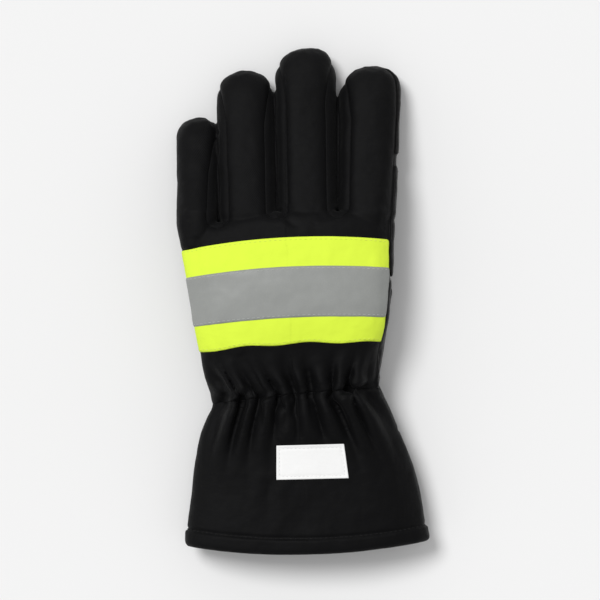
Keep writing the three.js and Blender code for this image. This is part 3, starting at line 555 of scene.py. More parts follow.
class Place:
    """Where points lie: along the tube and across it, and on which finger."""

    def __init__(self, points):
        self.points = points
        self.x, self.y, self.z = points.T
        ring = self.y.copy()
        for _ in range(5):
            width, middle, bottom, height, tilt, bow, power = section(ring)
            self.share = np.clip((self.x - middle) / (width / 2), -1.1, 1.1)
            ring = self.y - tilt * self.share - bow * self.share ** 2
        self.ring = ring
        self.middle = np.maximum(bottom, 0) + height / 2
        self.half_height = height / 2
        self.power = power
        lines = [finger_line(k, self.y) for k in range(len(FINGERS))]
        halves = [finger_half(k, self.y) for k in range(len(FINGERS))]
        self.gaps = []
        for k in range(len(FINGERS) - 1):
            short = k if LONG[k] < LONG[k + 1] else k + 1
            tip = KNUCKLE + LONG[short]
            # Past the shorter finger's tip, the limit moves on to that finger's side
            past = 5 * smoothstep(self.y, tip - 10, tip) * (-1 if short == k else 1)
            gap = (lines[k][0] + halves[k] + lines[k + 1][0] - halves[k + 1]) / 2
            self.gaps.append(gap + past)
        self.finger = sum((self.x > gap).astype(int) for gap in self.gaps)
        self.line_x = np.choose(self.finger, [line[0] for line in lines])
        self.line_z = np.choose(self.finger, [line[1] for line in lines])
        self.half = np.choose(self.finger, halves)
        self.tip = KNUCKLE + LONG[self.finger]

    def seam_height(self):
        """Height of the seam between the back and the palm."""
        on_finger = smoothstep(self.ring, KNUCKLE - 6, KNUCKLE + 6)
        on_hand = smoothstep(self.ring, WRIST - 40, WRIST + 10)
        middle = mix(self.middle, self.line_z, on_finger)
        low = mix(mix(0.45, 0.49, on_hand) * self.half_height, 0.74 * FINGER_HEIGHT / 2, on_finger)
        high = mix(mix(0.05, 0.36, on_hand) * self.half_height, 0.5 * FINGER_HEIGHT / 2, on_finger)
        side = (self.x - self.line_x) / self.half

        def towards(sign, k):
            """How near the outer side of the outer finger k, or of the tube."""
            finger = np.where(self.finger == k, smoothstep(sign * side, 0.3, 0.9), 0)
            finger = np.where(on_finger > 0, finger, 1)
            return mix(smoothstep(sign * self.share, 0.2, 0.8), finger, on_finger)

        return middle - low * towards(-1, 0) + high * towards(1, 3)

    def above_seam(self):
        return self.z - self.seam_height()

    def under(self):
        """Height of the tube's underside."""
        flat = np.clip(np.abs(self.share), 0, 1)
        rim = (1 - flat ** self.power) ** (1 / self.power)
        return np.maximum(self.middle - self.half_height * rim, FLOOR_LIFT)


def side_strip(p):
    """Depth in the side walls between the fingers, and the gap that each point belongs to."""
    offset = p.x - p.line_x
    side = np.where(offset > 0, 1, -1)
    outer = ((p.finger == 0) & (side < 0)) | ((p.finger == 3) & (side > 0))
    top = p.z > p.line_z
    left = p.tip - TIP_CLEAR - p.y
    inset = np.where(top, 5.8, 4.0) * np.clip(left / 26, 0, 1) ** 0.7
    depth = np.abs(offset) - (p.half - inset)
    depth = np.minimum(depth, left * 0.5)
    gap = np.clip(np.where(side > 0, p.finger, p.finger - 1), 0, 2)
    gap_x = np.choose(gap, p.gaps)
    end = knuckle_line(p.share)
    radius = np.where(top, 6.8, 5.0)
    crotch = radius - np.hypot(p.x - gap_x, np.minimum(p.y - end - 1.5, 0) * 1.3)
    depth = np.where(p.y < end + 1.5, crotch, depth)
    return np.where(outer, OUTSIDE, depth), gap


THUMB_ROOT_X = INDEX_EDGE - THUMB_ROOT_REACH * THUMB_REACH
THUMB_OUTLINE = [
    *thumb_place(*np.array(THUMB_SEAM).T).tolist(),
    (FAR, WRIST - 0.25 * PALM_LENGTH),
    (FAR, WRIST + 0.8 * PALM_LENGTH),
]


def thumb_depth(p):
    """Depth in the thumb: what hangs below the palm, and the hand's side over its root."""
    hangs = p.under() - THUMB_SAG - p.z
    root_end = WRIST + THUMB_ROOT_ALONG * PALM_LENGTH
    root = within(p.x - THUMB_ROOT_X, root_end - p.y, -p.above_seam())
    on_hand = np.minimum(np.maximum(hangs, root), p.ring - PALM_SEAM)
    return np.where(p.ring > KNUCKLE - 20, OUTSIDE, on_hand)


def thumb_panel(p):
    """Depth in the outer of the thumb's two panels, anywhere on the glove."""
    outer = np.minimum(outline_depth(p.x, p.y, THUMB_OUTLINE), THUMB_HEIGHT / 2 - p.z)
    return np.maximum(outer, p.x - THUMB_ROOT_X)


def spline(points, count):
    points = np.asarray(points, float)
    return hermite(np.arange(len(points)), points, np.linspace(0, len(points) - 1, count))


def palm_patch_outline():
    across, along = np.array(PALM_PATCH_EDGE).T
    edge = np.column_stack([INDEX_EDGE - across * KNUCKLE_WIDTH, WRIST + along * PALM_LENGTH])
    edge = spline(edge, 60)
    foot = WRIST + 0.27 * PALM_LENGTH
    return [(FAR, edge[0, 1]), *edge.tolist(), (-FAR, edge[-1, 1]), (-FAR, foot), (FAR, foot)]


def corner_turn(x, y, size, stretch=1):
    """Points round a corner between a side at x and a foot at y."""
    return [(x + size * (1 - math.cos(a)), y + stretch * size * (1 - math.sin(a)))
            for a in np.linspace(0, math.pi / 2, 9)]


def tip_patch_outline():
    depth, corner = 57, 14
    tip = KNUCKLE + LONG[3]
    inner = TIP[3] - WIDE[3] * 0.42
    foot = tip - depth
    turn = corner_turn(inner, foot, corner, 1.2)
    return [(FAR, tip + 20), (inner + 5, tip + 20), (inner + 3, tip - 0.35 * depth), *turn, (FAR, foot)]


def heel_patch_outline():
    half, depth, corner = 42.5, 45, 20
    middle = section(PALM_SEAM)[1] + 1.5
    turns = corner_turn(middle - half, PALM_SEAM - depth, corner)
    other = [(2 * middle - x, y) for x, y in reversed(turns)]
    return [(middle - half, PALM_SEAM + 20), *turns, *other, (middle + half, PALM_SEAM + 20)]


PALM_PATCH = palm_patch_outline()
TIP_PATCH = tip_patch_outline()
HEEL_PATCH = heel_patch_outline()


# Depth in each panel: positive inside it, about in millimetres

def depth_hand_back(p):
    return within(p.above_seam(), -side_strip(p)[0], p.ring - WRIST)


def depth_cuff_back(p):
    return within(p.above_seam(), WRIST - p.ring, p.ring - HEM - 0.4)


def depth_palm(p):
    return within(-p.above_seam(), -side_strip(p)[0], p.ring - PALM_SEAM, -thumb_depth(p))


def depth_cuff_palm(p):
    return within(-p.above_seam(), PALM_SEAM - p.ring, p.ring - HEM - 0.4)


def depth_fourchette(index):
    def depth(p):
        strip, gap = side_strip(p)
        return np.where(gap == index, strip, OUTSIDE)
    return depth


def depth_thumb_outer(p):
    return np.minimum(thumb_depth(p), thumb_panel(p))


def depth_thumb_inner(p):
    return np.minimum(thumb_depth(p), -thumb_panel(p))


def depth_band(p):
    low = WRIST + BAND_RISE + 0.7 * np.sin(p.x * 0.16 + 1)
    high = WRIST + BAND_RISE + BAND_WIDTH
    return within(p.above_seam() - 1.0, p.ring - low, high - p.ring)


def depth_strip(p):
    low = WRIST + BAND_RISE + STRIP_RISE
    return within(p.above_seam() - 1.2, p.ring - low, low + STRIP_WIDTH - p.ring)


def depth_palm_patch(p):
    inside = outline_depth(p.x, p.y, PALM_PATCH)
    return within(inside, -p.above_seam() - 1.2, -thumb_depth(p) - 0.5, -side_strip(p)[0] - 0.5)


def depth_tip_patch(p):
    inside = outline_depth(p.x, p.y, TIP_PATCH)
    index = np.where(p.finger == 3, INSIDE, OUTSIDE)
    return within(inside, -p.above_seam() - 0.8, -side_strip(p)[0] - 0.4, index)


def depth_heel_patch(p):
    inside = outline_depth(p.x, p.y, HEEL_PATCH)
    return within(inside, PALM_SEAM - 0.6 - p.ring, p.middle - 4 - p.z)


def snap_border(verts, normals, start, end, depth):
    """Moves border points along the surface until they lie on the panel's edge, then evens them."""
    border = np.unique(start)
    points = verts[border]
    faces = normals[border]
    for _ in range(3):
        value = depth(Place(points))
        slope = np.zeros_like(points)
        for axis in range(3):
            step = np.zeros(3)
            step[axis] = 0.25
            slope[:, axis] = (depth(Place(points + step)) - depth(Place(points - step))) / 0.5
        slope -= (slope * faces).sum(1)[:, None] * faces
        size = (slope ** 2).sum(1)
        move = -value[:, None] * slope / np.maximum(size, 0.09)[:, None]
        points = points + capped(move, BORDER_STEP)
    verts[border] = points
    a, b = np.concatenate([start, end]), np.concatenate([end, start])
    for _ in range(4):
        verts[border] = verts[border] / 2 + neighbour_means(verts, a, b)[border] / 2


def border_of(faces, count):
    """Starts and ends of the edges on a mesh's open border, in the faces' direction."""
    after = np.roll(faces, -1, axis=1)
    keys = (np.minimum(faces, after) * count + np.maximum(faces, after)).ravel()
    _, where, times = np.unique(keys, return_index=True, return_counts=True)
    return faces.ravel()[where[times == 1]], after.ravel()[where[times == 1]]


def tree_of(points):
    tree = KDTree(len(points))
    for i, point in enumerate(points):
        tree.insert(point, i)
    tree.balance()
    return tree


def weave_uv(points):
    """Length round the section and along the glove, in metres, for the cloth's weave."""
    p = Place(points)
    top = p.middle + p.half_height
    side = np.sign(p.share)
    return np.column_stack([p.x + side * (top - p.z), p.y]) * MM


def thick(points, faces, normals, thickness):
    """Points and faces of the solid between a surface and one that lies its thickness inside it."""
    inner = points - normals * thickness
    inner[:, 2] = np.maximum(inner[:, 2], INNER_FLOOR)
    count = len(points)
    start, end = border_of(faces, count)
    sides = np.stack([end, start, start + count, end + count], -1)
    return np.vstack([points, inner]), np.vstack([faces, faces[:, ::-1] + count, sides])


SEWN = {}  # each panel's outer points, faces and normals
PREFIX = "sewn_"


def glove_piece(name, verts, faces, material):
    """A piece that rides on the glove."""
    obj = make_object(name, verts, faces)
    for face in obj.data.polygons:
        face.use_smooth = True
    obj.data.materials.append(material)
    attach(obj, "root")
    return obj


def sewn_piece(name, verts, faces, uv, material):
    """A piece that takes the place of a solid's, with its cloth's directions."""
    obj = glove_piece(PREFIX + name, verts, faces.tolist(), material)
    weave = obj.data.uv_layers.new(name="weave")
    weave.data.foreach_set("uv", uv[faces.ravel()].ravel())
    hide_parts(name)
    return obj


def panel(name, depth, slot, material, raised=0.0, puff=0.35, seam=1.0, width=2.4, thickness=WALL,
          shape=None):
    """A sewn panel: the part of the surface inside its edge, sunk at the seam and full inside it."""
    verts, quads, directions = SURFACE
    centres = verts[quads].mean(1)
    chosen = quads[depth(Place(centres)) > 0]
    used, flat = np.unique(chosen, return_inverse=True)
    faces = flat.reshape(-1, 4)
    points = verts[used]
    normals = directions[used]
    start, end = border_of(faces, len(points))
    snap_border(points, normals, start, end, depth)
    border = tree_of(points[np.unique(start)])
    distance = np.array([border.find(point)[2] for point in points])
    lift = raised - seam * np.exp(-((distance / width) ** 1.5))
    lift += puff * (1 - np.exp(-distance / PUFF_REACH))
    if shape is not None:
        lift += shape(Place(points))
    points = points + normals * lift[:, None]
    points[:, 2] = soft_floor(points[:, 2], 0.05, 0.15)
    SEWN[name] = (points, faces, normals_of(points, faces))
    verts, quads = thick(points, faces, normals, thickness)
    return sewn_piece(name, verts, quads, np.tile(weave_uv(points), (2, 1)), material)


# Small forms of the whole surface

def wrinkle(points, size, seed, stretch=(1, 1, 1)):
    """Smooth noise from -1 to 1, in lumps as large as size."""
    scaled = points / (np.array(stretch) * size) + seed
    return np.array([noise.noise(Vector(q)) for q in scaled])


def fold_depth(x, y, folds):
    """Valleys with soft lips along the folds, deepest where they start."""
    total = np.zeros(len(x))
    for *line, depth, width in folds:
        points = spline(np.reshape(line, (3, 2)), 9)
        away, share = np.full(len(x), 1e9), np.zeros(len(x))
        for k, (a, b) in enumerate(zip(points[:-1], points[1:])):
            run = b - a
            t = np.clip(((x - a[0]) * run[0] + (y - a[1]) * run[1]) / (run @ run), 0, 1)
            gap = np.hypot(x - a[0] - t * run[0], y - a[1] - t * run[1])
            nearer = gap < away
            away, share = np.where(nearer, gap, away), np.where(nearer, (k + t) / 8, share)
        wide = 1.2 * width * (1 + 0.5 * share)
        valley = 0.5 * np.exp(-((away - 2.3 * wide) / (1.3 * wide)) ** 2) - np.exp(-((away / wide) ** 2))
        total += depth * (1 - share) ** 0.6 * valley
    return np.maximum(total, FOLD_FLOOR)


def weathered(verts, quads):
    """The soft irregularities of cloth and leather over padding."""
    normals = normals_of(verts, quads)
    p = Place(verts)
    lumps = sum(height * wrinkle(verts, size, seed) for height, size, seed in LUMPS)
    tip = smoothstep(verts[:, 1], p.tip - 12, p.tip - 2)
    lumps += 0.35 * tip * wrinkle(verts, 3.6, 5.2, (1, 3, 1))
    back = smoothstep(p.above_seam(), -1, 4)
    folds = back * fold_depth(p.x, p.y, BACK_FOLDS) + (1 - back) * fold_depth(p.x, p.y, PALM_FOLDS)
    folds *= FOLD_SCALE * loose(p.x, p.y)
    flat = smoothstep(verts[:, 2], 1.0, 5.0)
    return verts + normals * ((lumps + folds) * mix(0.15, 1, flat))[:, None]


CLOTH = {
    "quality": 4, "mass": 0.3, "tension_stiffness": 12, "compression_stiffness": 6, "shear_stiffness": 4,
    "bending_stiffness": 0.4, "use_pressure": True, "uniform_pressure_force": 4,
}


def filled_out(verts, quads):
    """The surface after a short cloth simulation, in which the padding presses the cloth outwards."""
    coarse = make_object("cloth", verts, quads.tolist())
    remesh(coarse, SIM_VOXEL)
    before = verts_of(coarse.data)
    cloth = coarse.modifiers.new("cloth", "CLOTH")
    for key, value in CLOTH.items():
        setattr(cloth.settings, key, value)
    cloth.settings.effector_weights.gravity = 0
    cloth.point_cache.frame_start = 1
    cloth.point_cache.frame_end = SIM_FRAMES
    for number in range(1, SIM_FRAMES + 1):
        bpy.context.scene.frame_set(number)
    apply_modifiers(coarse)
    move = (verts_of(coarse.data) - before) * SIM_SHARES
    move[:, 2] = np.maximum(move[:, 2], 0)  # the underside rests on the thumb and the floor
    bpy.data.objects.remove(coarse)
    bpy.context.scene.frame_set(1)
    move = capped(move, SIM_REACH)
    tree = tree_of(before)
    moved = np.empty_like(verts)
    for i, point in enumerate(verts):
        found = tree.find_n(point, 6)
        share = np.array([1 / (hit[2] + 0.4) ** 2 for hit in found])
        moved[i] = share @ move[[hit[1] for hit in found]] / share.sum()
    return verts + smoothed(moved, quads, 3, keep=False)


def glove_surface():
    """Points, quads and normals of the surface that all panels are cut from."""
    verts, quads = whole_glove()
    verts = filled_out(verts, quads)
    verts = smoothed(weathered(verts, quads), quads, 3)
    return verts, quads, normals_of(verts, quads)


SURFACE = glove_surface()


# Materials

class Shader:
    """A material's nodes, each added with its inputs and linked by its outputs."""

    def __init__(self, name, color, roughness, specular, sheen=0.0):
        self.made = bpy.data.materials.new(name)
        self.made.use_nodes = True
        self.tree = self.made.node_tree
        self.main = self.tree.nodes["Principled BSDF"]
        for key, value in {"Base Color": (*color, 1), "Roughness": roughness, "Sheen Weight": sheen,
                           "Specular IOR Level": specular, "Sheen Roughness": 0.5}.items():
            self.main.inputs[key].default_value = value
        self.color = color
        self.roughness = roughness

    def put(self, socket, value):
        if isinstance(value, bpy.types.NodeSocket):
            self.tree.links.new(value, socket)
        else:
            socket.default_value = value

    def add(self, kind, inputs=None, **settings):
        """A node with its settings, and with its inputs set or linked."""
        node = self.tree.nodes.new("ShaderNode" + kind)
        for key, value in settings.items():
            setattr(node, key, value)
        for key, value in (inputs or {}).items():
            self.put(node.inputs[key], value)
        return node

    def math(self, operation, a, b=0.0):
        return self.add("Math", {0: a, 1: b}, operation=operation).outputs[0]

    def blend(self, a, a_share, b, b_share):
        return self.math("ADD", self.math("MULTIPLY", a, a_share), self.math("MULTIPLY", b, b_share))

    def noise(self, size, detail=2.0, stretch=(1, 1, 1)):
        """Noise from 0 to 1 over the piece, in lumps of a size in millimetres."""
        place = {"Vector": self.add("TexCoord").outputs["Object"]}
        place = self.add("Mapping", {**place, "Scale": [1 / (size * MM * s) for s in stretch]}).outputs[0]
        return self.add("TexNoise", {"Vector": place, "Scale": 1, "Detail": detail}).outputs["Fac"]

    def cells(self, size):
        """Distance from the middles of soft cells of a size in millimetres."""
        inputs = {"Vector": self.add("TexCoord").outputs["Object"], "Scale": 1 / (size * MM)}
        return self.add("TexVoronoi", inputs, feature="SMOOTH_F1").outputs["Distance"]

    def threads(self, pitch, twill=True):
        """Height from 0 to 1 of a weave with a thread pitch in millimetres."""
        spread = self.add("SeparateXYZ", {0: self.add("UVMap", uv_map="weave").outputs[0]})
        u, v = (self.math("MULTIPLY", spread.outputs[i], 2 * math.pi / (pitch * MM)) for i in range(2))
        if twill:
            rib = self.math("SINE", self.math("ADD", u, v))
            thread = self.math("SINE", self.math("MULTIPLY", v, 2.0))
            weave = self.math("ADD", rib, self.math("MULTIPLY", thread, 0.4))
        else:
            weave = self.math("MULTIPLY", self.math("SINE", u), self.math("SINE", v))
        return self.math("ADD", self.math("MULTIPLY", weave, 0.35), 0.5)

    def tint(self, share, low, high):
        """The colour, from low times it to high times it by a share."""
        darker, lighter = ((*[min(c * times, 1) for c in self.color], 1) for times in (low, high))
        mixed = self.add("Mix", {"Factor": share, 6: darker, 7: lighter}, data_type="RGBA")
        self.put(self.main.inputs["Base Color"], mixed.outputs[2])

    def gloss(self, share, change):
        """The roughness, changed both ways by a share."""
        ends = {"To Min": self.roughness - change, "To Max": self.roughness + change}
        spread = self.add("MapRange", {"Value": share, **ends})
        self.put(self.main.inputs["Roughness"], spread.outputs[0])

    def bump(self, *layers):
        """Relief from layers of height and depth in millimetres."""
        below = {}
        for height, depth in layers:
            node = self.add("Bump", {"Distance": depth * MM, "Height": height, **below})
            below = {"Normal": node.outputs[0]}
        self.put(self.main.inputs["Normal"], below["Normal"])


def woven(name, color, roughness, specular, pitch, twill=True, sheen=0.0, mottle=(0.8, 1.25)):
    """Cloth: a weave with slubs, faint blotches and fuzz."""
    made = Shader(name, color, roughness, specular, sheen=sheen)
    weave = made.threads(pitch, twill)
    blotch = made.noise(22, 4)
    slubs = made.noise(1.6, 2, (3, 1, 1))
    made.tint(made.blend(blotch, 0.6, weave, 0.4), *mottle)
    made.gloss(slubs, 0.08)
    made.bump((weave, 0.09), (slubs, 0.08), (made.noise(7, 3), 0.35))
    return made.made


def hide(name, color, roughness, specular):
    """Leather: fine grain cells, pores, soft creases and worn patches."""
    made = Shader(name, color, roughness, specular, sheen=0.05)
    grain = made.cells(1.1)
    patches = made.noise(26, 5)
    creases = made.noise(3.2, 4, (1, 2.2, 1))
    made.tint(made.blend(patches, 0.7, grain, 0.3), 0.7, 1.5)
    made.gloss(patches, 0.12)
    made.bump((grain, 0.12), (creases, 0.3), (made.noise(9, 3), 0.4))
    return made.made


def tape(name, color):
    """Reflective tape: fine glass beads on a smooth cloth, with faint creases."""
    made = Shader(name, color, 0.45, 0.25)
    beads = made.cells(0.45)
    creases = made.noise(14, 3, (3, 1, 1))
    made.tint(made.blend(creases, 0.6, beads, 0.5), 0.86, 1.14)
    made.gloss(beads, 0.08)
    made.bump((beads, 0.03), (creases, 0.25))
    return made.made


def thread(name, color):
    """Sewing thread: twisted strands."""
    made = Shader(name, color, 0.7, 0.2, sheen=0.05)
    strands = made.noise(0.5, 2)
    made.tint(strands, 0.7, 1.3)
    made.bump((strands, 0.05))
    return made.made


def board(name, color):
    """A smooth matt studio floor."""
    made = Shader(name, color, 0.9, 0.1)
    made.tint(made.noise(260, 2), 0.995, 1.005)
    return made.made


BLACK_FABRIC = woven("black_fabric", (0.0021, 0.0021, 0.0024), 0.56, 0.085, 1.1, sheen=0.012)
BLACK_SIDE = woven("black_side_fabric", (0.002, 0.002, 0.0023), 0.6, 0.08, 0.9, twill=False, sheen=0.03)
BLACK_LEATHER = hide("black_leather", (0.0026, 0.0026, 0.0028), 0.5, 0.14)
YELLOW = woven("yellow_fabric", (0.69, 0.885, 0.058), 0.75, 0.15, 1.3, twill=False, mottle=(0.95, 1.05))
SILVER = tape("silver_tape", (0.268, 0.276, 0.266))
WHITE = woven("white_label", (0.87, 0.87, 0.865), 0.75, 0.2, 0.7, twill=False, mottle=(0.96, 1.03))
BLACK_THREAD = thread("black_thread", (0.0035, 0.0035, 0.0035))
GREY_THREAD = thread("grey_thread", (0.1, 0.1, 0.1))
YELLOW_THREAD = thread("yellow_thread", (0.68, 0.84, 0.1))
WHITE_THREAD = thread("white_thread", (0.78, 0.78, 0.78))
SILVER_THREAD = thread("silver_thread", (0.42, 0.43, 0.42))


def hem_shape(p):
    """The turned hem: a thick lip at the mouth, with a stitched groove above it."""
    t = p.ring - HEM
    lip = 1.1 * smoothstep(t, -0.5, 2.0) * (1 - smoothstep(t, HEM_DEPTH - 1.5, HEM_DEPTH))
    groove = -0.8 * np.exp(-((t - HEM_DEPTH - 0.4) / 1.0) ** 2)
    return lip + groove


def wrist_shape(p):
    """Fills the seam at the wrist up again, where the gathers run across it."""
    return 0.4 * np.exp(-((p.ring - WRIST) / 2.2) ** 2)


def cuff_back_shape(p):
    return hem_shape(p) + wrist_shape(p)


FABRIC = ("black_fabric", BLACK_FABRIC)
SIDE = ("black_fabric", BLACK_SIDE)
LEATHER = ("black_leather", BLACK_LEATHER)
PATCH = {"raised": 1.1, "puff": 0.4, "seam": 0.7, "width": 1.5, "thickness": 1.2}
BAND = {"raised": 1.0, "puff": 0.2, "seam": 0.35, "width": 0.8, "thickness": 0.9}
STRIP = {"raised": 1.55, "puff": 0.2, "seam": 0.3, "width": 0.7, "thickness": 0.5}
padded_panels = [
    panel("hand_back", depth_hand_back, *FABRIC, shape=wrist_shape),
    panel("cuff_back", depth_cuff_back, *FABRIC, shape=cuff_back_shape),
    panel("palm", depth_palm, *LEATHER),
    panel("cuff_palm", depth_cuff_palm, *LEATHER, shape=hem_shape),
    panel("thumb_outer", depth_thumb_outer, *LEATHER),
    panel("thumb_inner", depth_thumb_inner, *LEATHER),
]
for gap in range(len(FINGERS) - 1):
    name = f"fourchette_{FINGERS[gap + 1][0]}_{FINGERS[gap][0]}"
    padded_panels.append(panel(name, depth_fourchette(gap), *SIDE, puff=0.2, thickness=1.6))
panel("palm_patch", depth_palm_patch, *LEATHER, **PATCH)
panel("index_tip_patch", depth_tip_patch, *LEATHER, **PATCH)
panel("heel_patch", depth_heel_patch, *LEATHER, **PATCH)
band = panel("band", depth_band, "yellow_fabric", YELLOW, **BAND)
strip = panel("reflective_strip", depth_strip, "silver_tape", SILVER, **STRIP)


def label():
    """A woven label that follows the cuff's back, and how far each of its points is from its edge."""
    cuff = bpy.data.objects[PREFIX + "cuff_back"].data
    tree = BVHTree.FromPolygons([v.co for v in cuff.vertices], [list(f.vertices) for f in cuff.polygons])
    columns, rows = 64, 32
    across, up = np.meshgrid(np.linspace(0, 1, columns + 1), np.linspace(0, 1, rows + 1))
    a, b, c, d = (np.array(corner)[:, None, None] for corner in LABEL_CORNERS)
    x, y = mix(mix(a, b, across), mix(d, c, across), up)
    z = np.empty(x.shape)
    for i in np.ndindex(x.shape):
        place = Vector(((x[i] + X_SHIFT) * MM, y[i] * MM, 0.2))
        z[i] = tree.ray_cast(place, Vector((0, 0, -1)))[0].z / MM
    cloth = z.copy()
    for _ in range(160):
        z[1:-1] = z[1:-1] / 2 + (z[:-2] + z[2:]) / 4
        z[:, 1:-1] = z[:, 1:-1] / 2 + (z[:, :-2] + z[:, 2:]) / 4
        z = np.maximum(z, cloth)
    rim = np.minimum.reduce([across, 1 - across]) * LABEL_WIDTH
    rim = np.minimum(rim, np.minimum(up, 1 - up) * LABEL_DEPTH)
    z += LABEL_THICKNESS + 0.2 - 0.35 * np.exp(-((rim - LABEL_HEM) / 0.7) ** 2) + 0.2 * (rim < LABEL_HEM)
    verts = np.stack([x, y, z], -1).reshape(-1, 3)
    first = (np.arange(rows)[:, None] * (columns + 1) + np.arange(columns)).ravel()
    faces = np.stack([first, first + 1, first + columns + 2, first + columns + 1], -1)
    SEWN["label"] = (verts, faces, normals_of(verts, faces))
    verts, faces = thick(*SEWN["label"], LABEL_THICKNESS)
    return sewn_piece("label", verts, faces, verts[:, :2] * MM, WHITE), rim.ravel()


sewn_label, label_rim = label()


# Stitches

def zero_lines(points, faces, normals, value):
    """The lines on a mesh along which a value of its points passes zero, as points and normals."""
    after = np.roll(faces, -1, axis=1)
    crossing = (value[faces] > 0) != (value[after] > 0)
    keys = np.minimum(faces, after) * len(points) + np.maximum(faces, after)
    links = {}
    for row, hit in zip(keys, crossing):
        if hit.sum() == 2:
            one, other = row[hit].tolist()
            links.setdefault(one, []).append(other)
            links.setdefault(other, []).append(one)
    ends = [key for key, near in links.items() if len(near) == 1]
    lines, seen = [], set()
    for start in ends + sorted(links):
        if start in seen:
            continue
        chain = [start]
        seen.add(start)
        while True:
            ahead = [key for key in links[chain[-1]] if key not in seen]
            if not ahead:
                break
            chain.append(ahead[0])
            seen.add(ahead[0])
        key = np.array(chain)
        low, high = key // len(points), key % len(points)
        share = (value[low] / (value[low] - value[high]))[:, None]
        lines.append((mix(points[low], points[high], share), mix(normals[low], normals[high], share)))
    return lines


def evened(values):
    for _ in range(6):
        values[1:-1] = values[1:-1] / 2 + (values[:-2] + values[2:]) / 4
    return values


def stitched(line, normal, length, gap, radius):
    """Rings of points of the stitches along a line."""
    line, normal = evened(line), evened(normal)
    run = np.concatenate([[0], np.cumsum(norm(np.diff(line, axis=0), axis=1))])
    if run[-1] < 3 * length:
        return np.empty((0, STITCH_RINGS, STITCH_SIDES, 3))
    starts = np.arange(gap, run[-1] - length, length + gap)
    at = starts[:, None] + STITCH_SHARES * length
    place, up = (np.stack([np.interp(at, run, column) for column in values.T], -1)
                 for values in (line, normal))
    up /= norm(up, axis=-1, keepdims=True)
    ahead = place[:, -1:] - place[:, :1]
    side = np.cross(np.broadcast_to(ahead, up.shape), up)
    side /= norm(side, axis=-1, keepdims=True)
    rise = radius * (1.5 * np.sin(np.pi * STITCH_SHARES) - 0.7)
    middle = place + up * rise[:, None]
    c, s = turn(STITCH_SIDES)
    wide = (radius * STITCH_WIDTHS)[:, None, None]
    ring = c[:, None] * side[:, :, None] + s[:, None] * up[:, :, None]
    rings = middle[:, :, None] + wide * ring
    rings[..., 2] = np.maximum(rings[..., 2], 0.02)
    return rings


def stitch_piece(name, rows, material, length=2.2, gap=1.0, radius=0.3):
    """All the stitches of some seams as one piece."""
    rings = np.concatenate([stitched(line, normal, length, gap, radius) for line, normal in rows])
    verts = rings.reshape(-1, 3)
    faces = []
    for first in range(0, len(verts), STITCH_RINGS * STITCH_SIDES):
        last = first + (STITCH_RINGS - 1) * STITCH_SIDES
        for ring in range(first, last, STITCH_SIDES):
            for i in range(STITCH_SIDES):
                a, b = ring + i, ring + (i + 1) % STITCH_SIDES
                faces.append((a, b, b + STITCH_SIDES, a + STITCH_SIDES))
        faces.append(tuple(reversed(range(first, first + STITCH_SIDES))))
        faces.append(tuple(range(last, last + STITCH_SIDES)))
    glove_piece(name, verts, faces, material)


def rows_from(name, field, insets, where=None):
    """Lines for rows of stitches on a panel, at insets from where a field of places is zero."""
    points, faces, normals = SEWN[name]
    p = Place(points)
    kept = faces if where is None else faces[(where(p)[faces] > 0).all(1)]
    lines = []
    for inset in insets:
        lines += zero_lines(points, kept, normals, field(p) - inset)
    return lines


def patch_rows(name, outline, insets, where=None):
    return rows_from(name, lambda p: outline_depth(p.x, p.y, outline), insets, where)


def on_underside(p):
    return -p.above_seam() - 3


def clear_of_thumb(p):
    return within(on_underside(p), -thumb_depth(p) - 2, -side_strip(p)[0] - 2)


def on_band(p):
    return p.above_seam() - 2.2


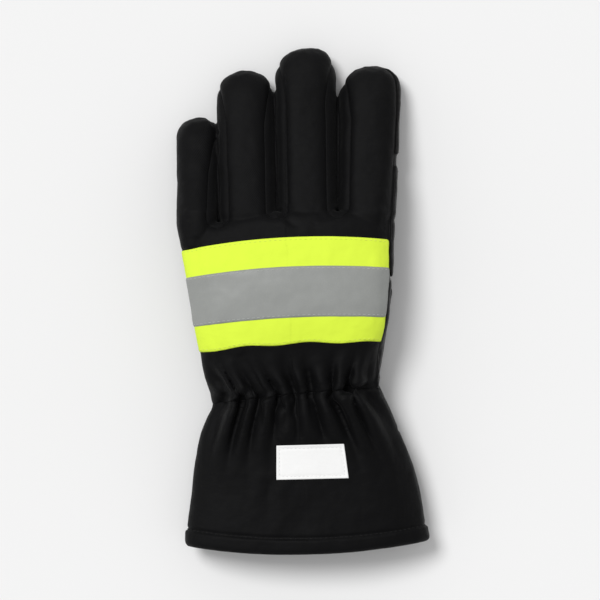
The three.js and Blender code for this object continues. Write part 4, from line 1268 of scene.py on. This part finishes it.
leather_rows = patch_rows("palm_patch", PALM_PATCH, (1.6, 3.6), clear_of_thumb)
leather_rows += patch_rows("index_tip_patch", TIP_PATCH, (1.6,), on_underside)
leather_rows += patch_rows("heel_patch", HEEL_PATCH, (1.6, 3.6))
leather_rows += rows_from("palm", lambda p: p.ring - PALM_SEAM, (1.8, 3.8), clear_of_thumb)
stitch_piece("palm_stitches", leather_rows, GREY_THREAD)
hem_rows = rows_from("cuff_back", lambda p: p.ring - HEM - HEM_DEPTH, (0.0,))
hem_rows += rows_from("cuff_palm", lambda p: p.ring - HEM - HEM_DEPTH, (0.0,))
stitch_piece("hem_stitches", hem_rows, BLACK_THREAD)
band_rows = rows_from("band", depth_band, (1.5,), on_band)
stitch_piece("band_stitches", band_rows, YELLOW_THREAD, radius=0.24)
strip_rows = rows_from("reflective_strip", depth_strip, (1.3,), on_band)
stitch_piece("strip_stitches", strip_rows, SILVER_THREAD, radius=0.22)
label_rows = zero_lines(*SEWN["label"], label_rim - LABEL_HEM)
stitch_piece("label_stitches", label_rows, WHITE_THREAD, 1.8, 0.8, 0.22)


# Floor, light and camera

def floor():
    mesh = bpy.data.meshes.new("floor")
    mesh.from_pydata([(-3, -3, 0), (3, -3, 0), (3, 3, 0), (-3, 3, 0)], [], [(0, 1, 2, 3)])
    obj = linked("floor", mesh)
    obj.data.materials.append(board("floor", (0.82, 0.82, 0.82)))


def light(name, kind, place, power, **settings):
    """A light at a place, turned towards the glove."""
    data = bpy.data.lights.new(name, kind)
    data.energy = power
    for key, value in settings.items():
        setattr(data, key, value)
    obj = linked(name, data)
    obj.location = place
    obj.rotation_euler = (-Vector(place)).to_track_quat("-Z", "Y").to_euler()


def camera():
    data = bpy.data.cameras.new("camera")
    data.lens = 200
    obj = linked("camera", data)
    obj.location = (0, 0, 2.161)
    bpy.context.scene.camera = obj


floor()
light("key", "SUN", place=(-0.42, 0.42, 1.0), power=2.0, angle=math.radians(22))
light("top", "AREA", place=(0, 0, 3.0), power=8.0, shape="SQUARE", size=1.2)
world = bpy.data.worlds.new("world")
world.use_nodes = True
background = world.node_tree.nodes["Background"]
background.inputs["Color"].default_value = (1, 1, 1, 1)
background.inputs["Strength"].default_value = 0.48
bpy.context.scene.world = world
bpy.context.scene.view_settings.view_transform = "Standard"
camera()
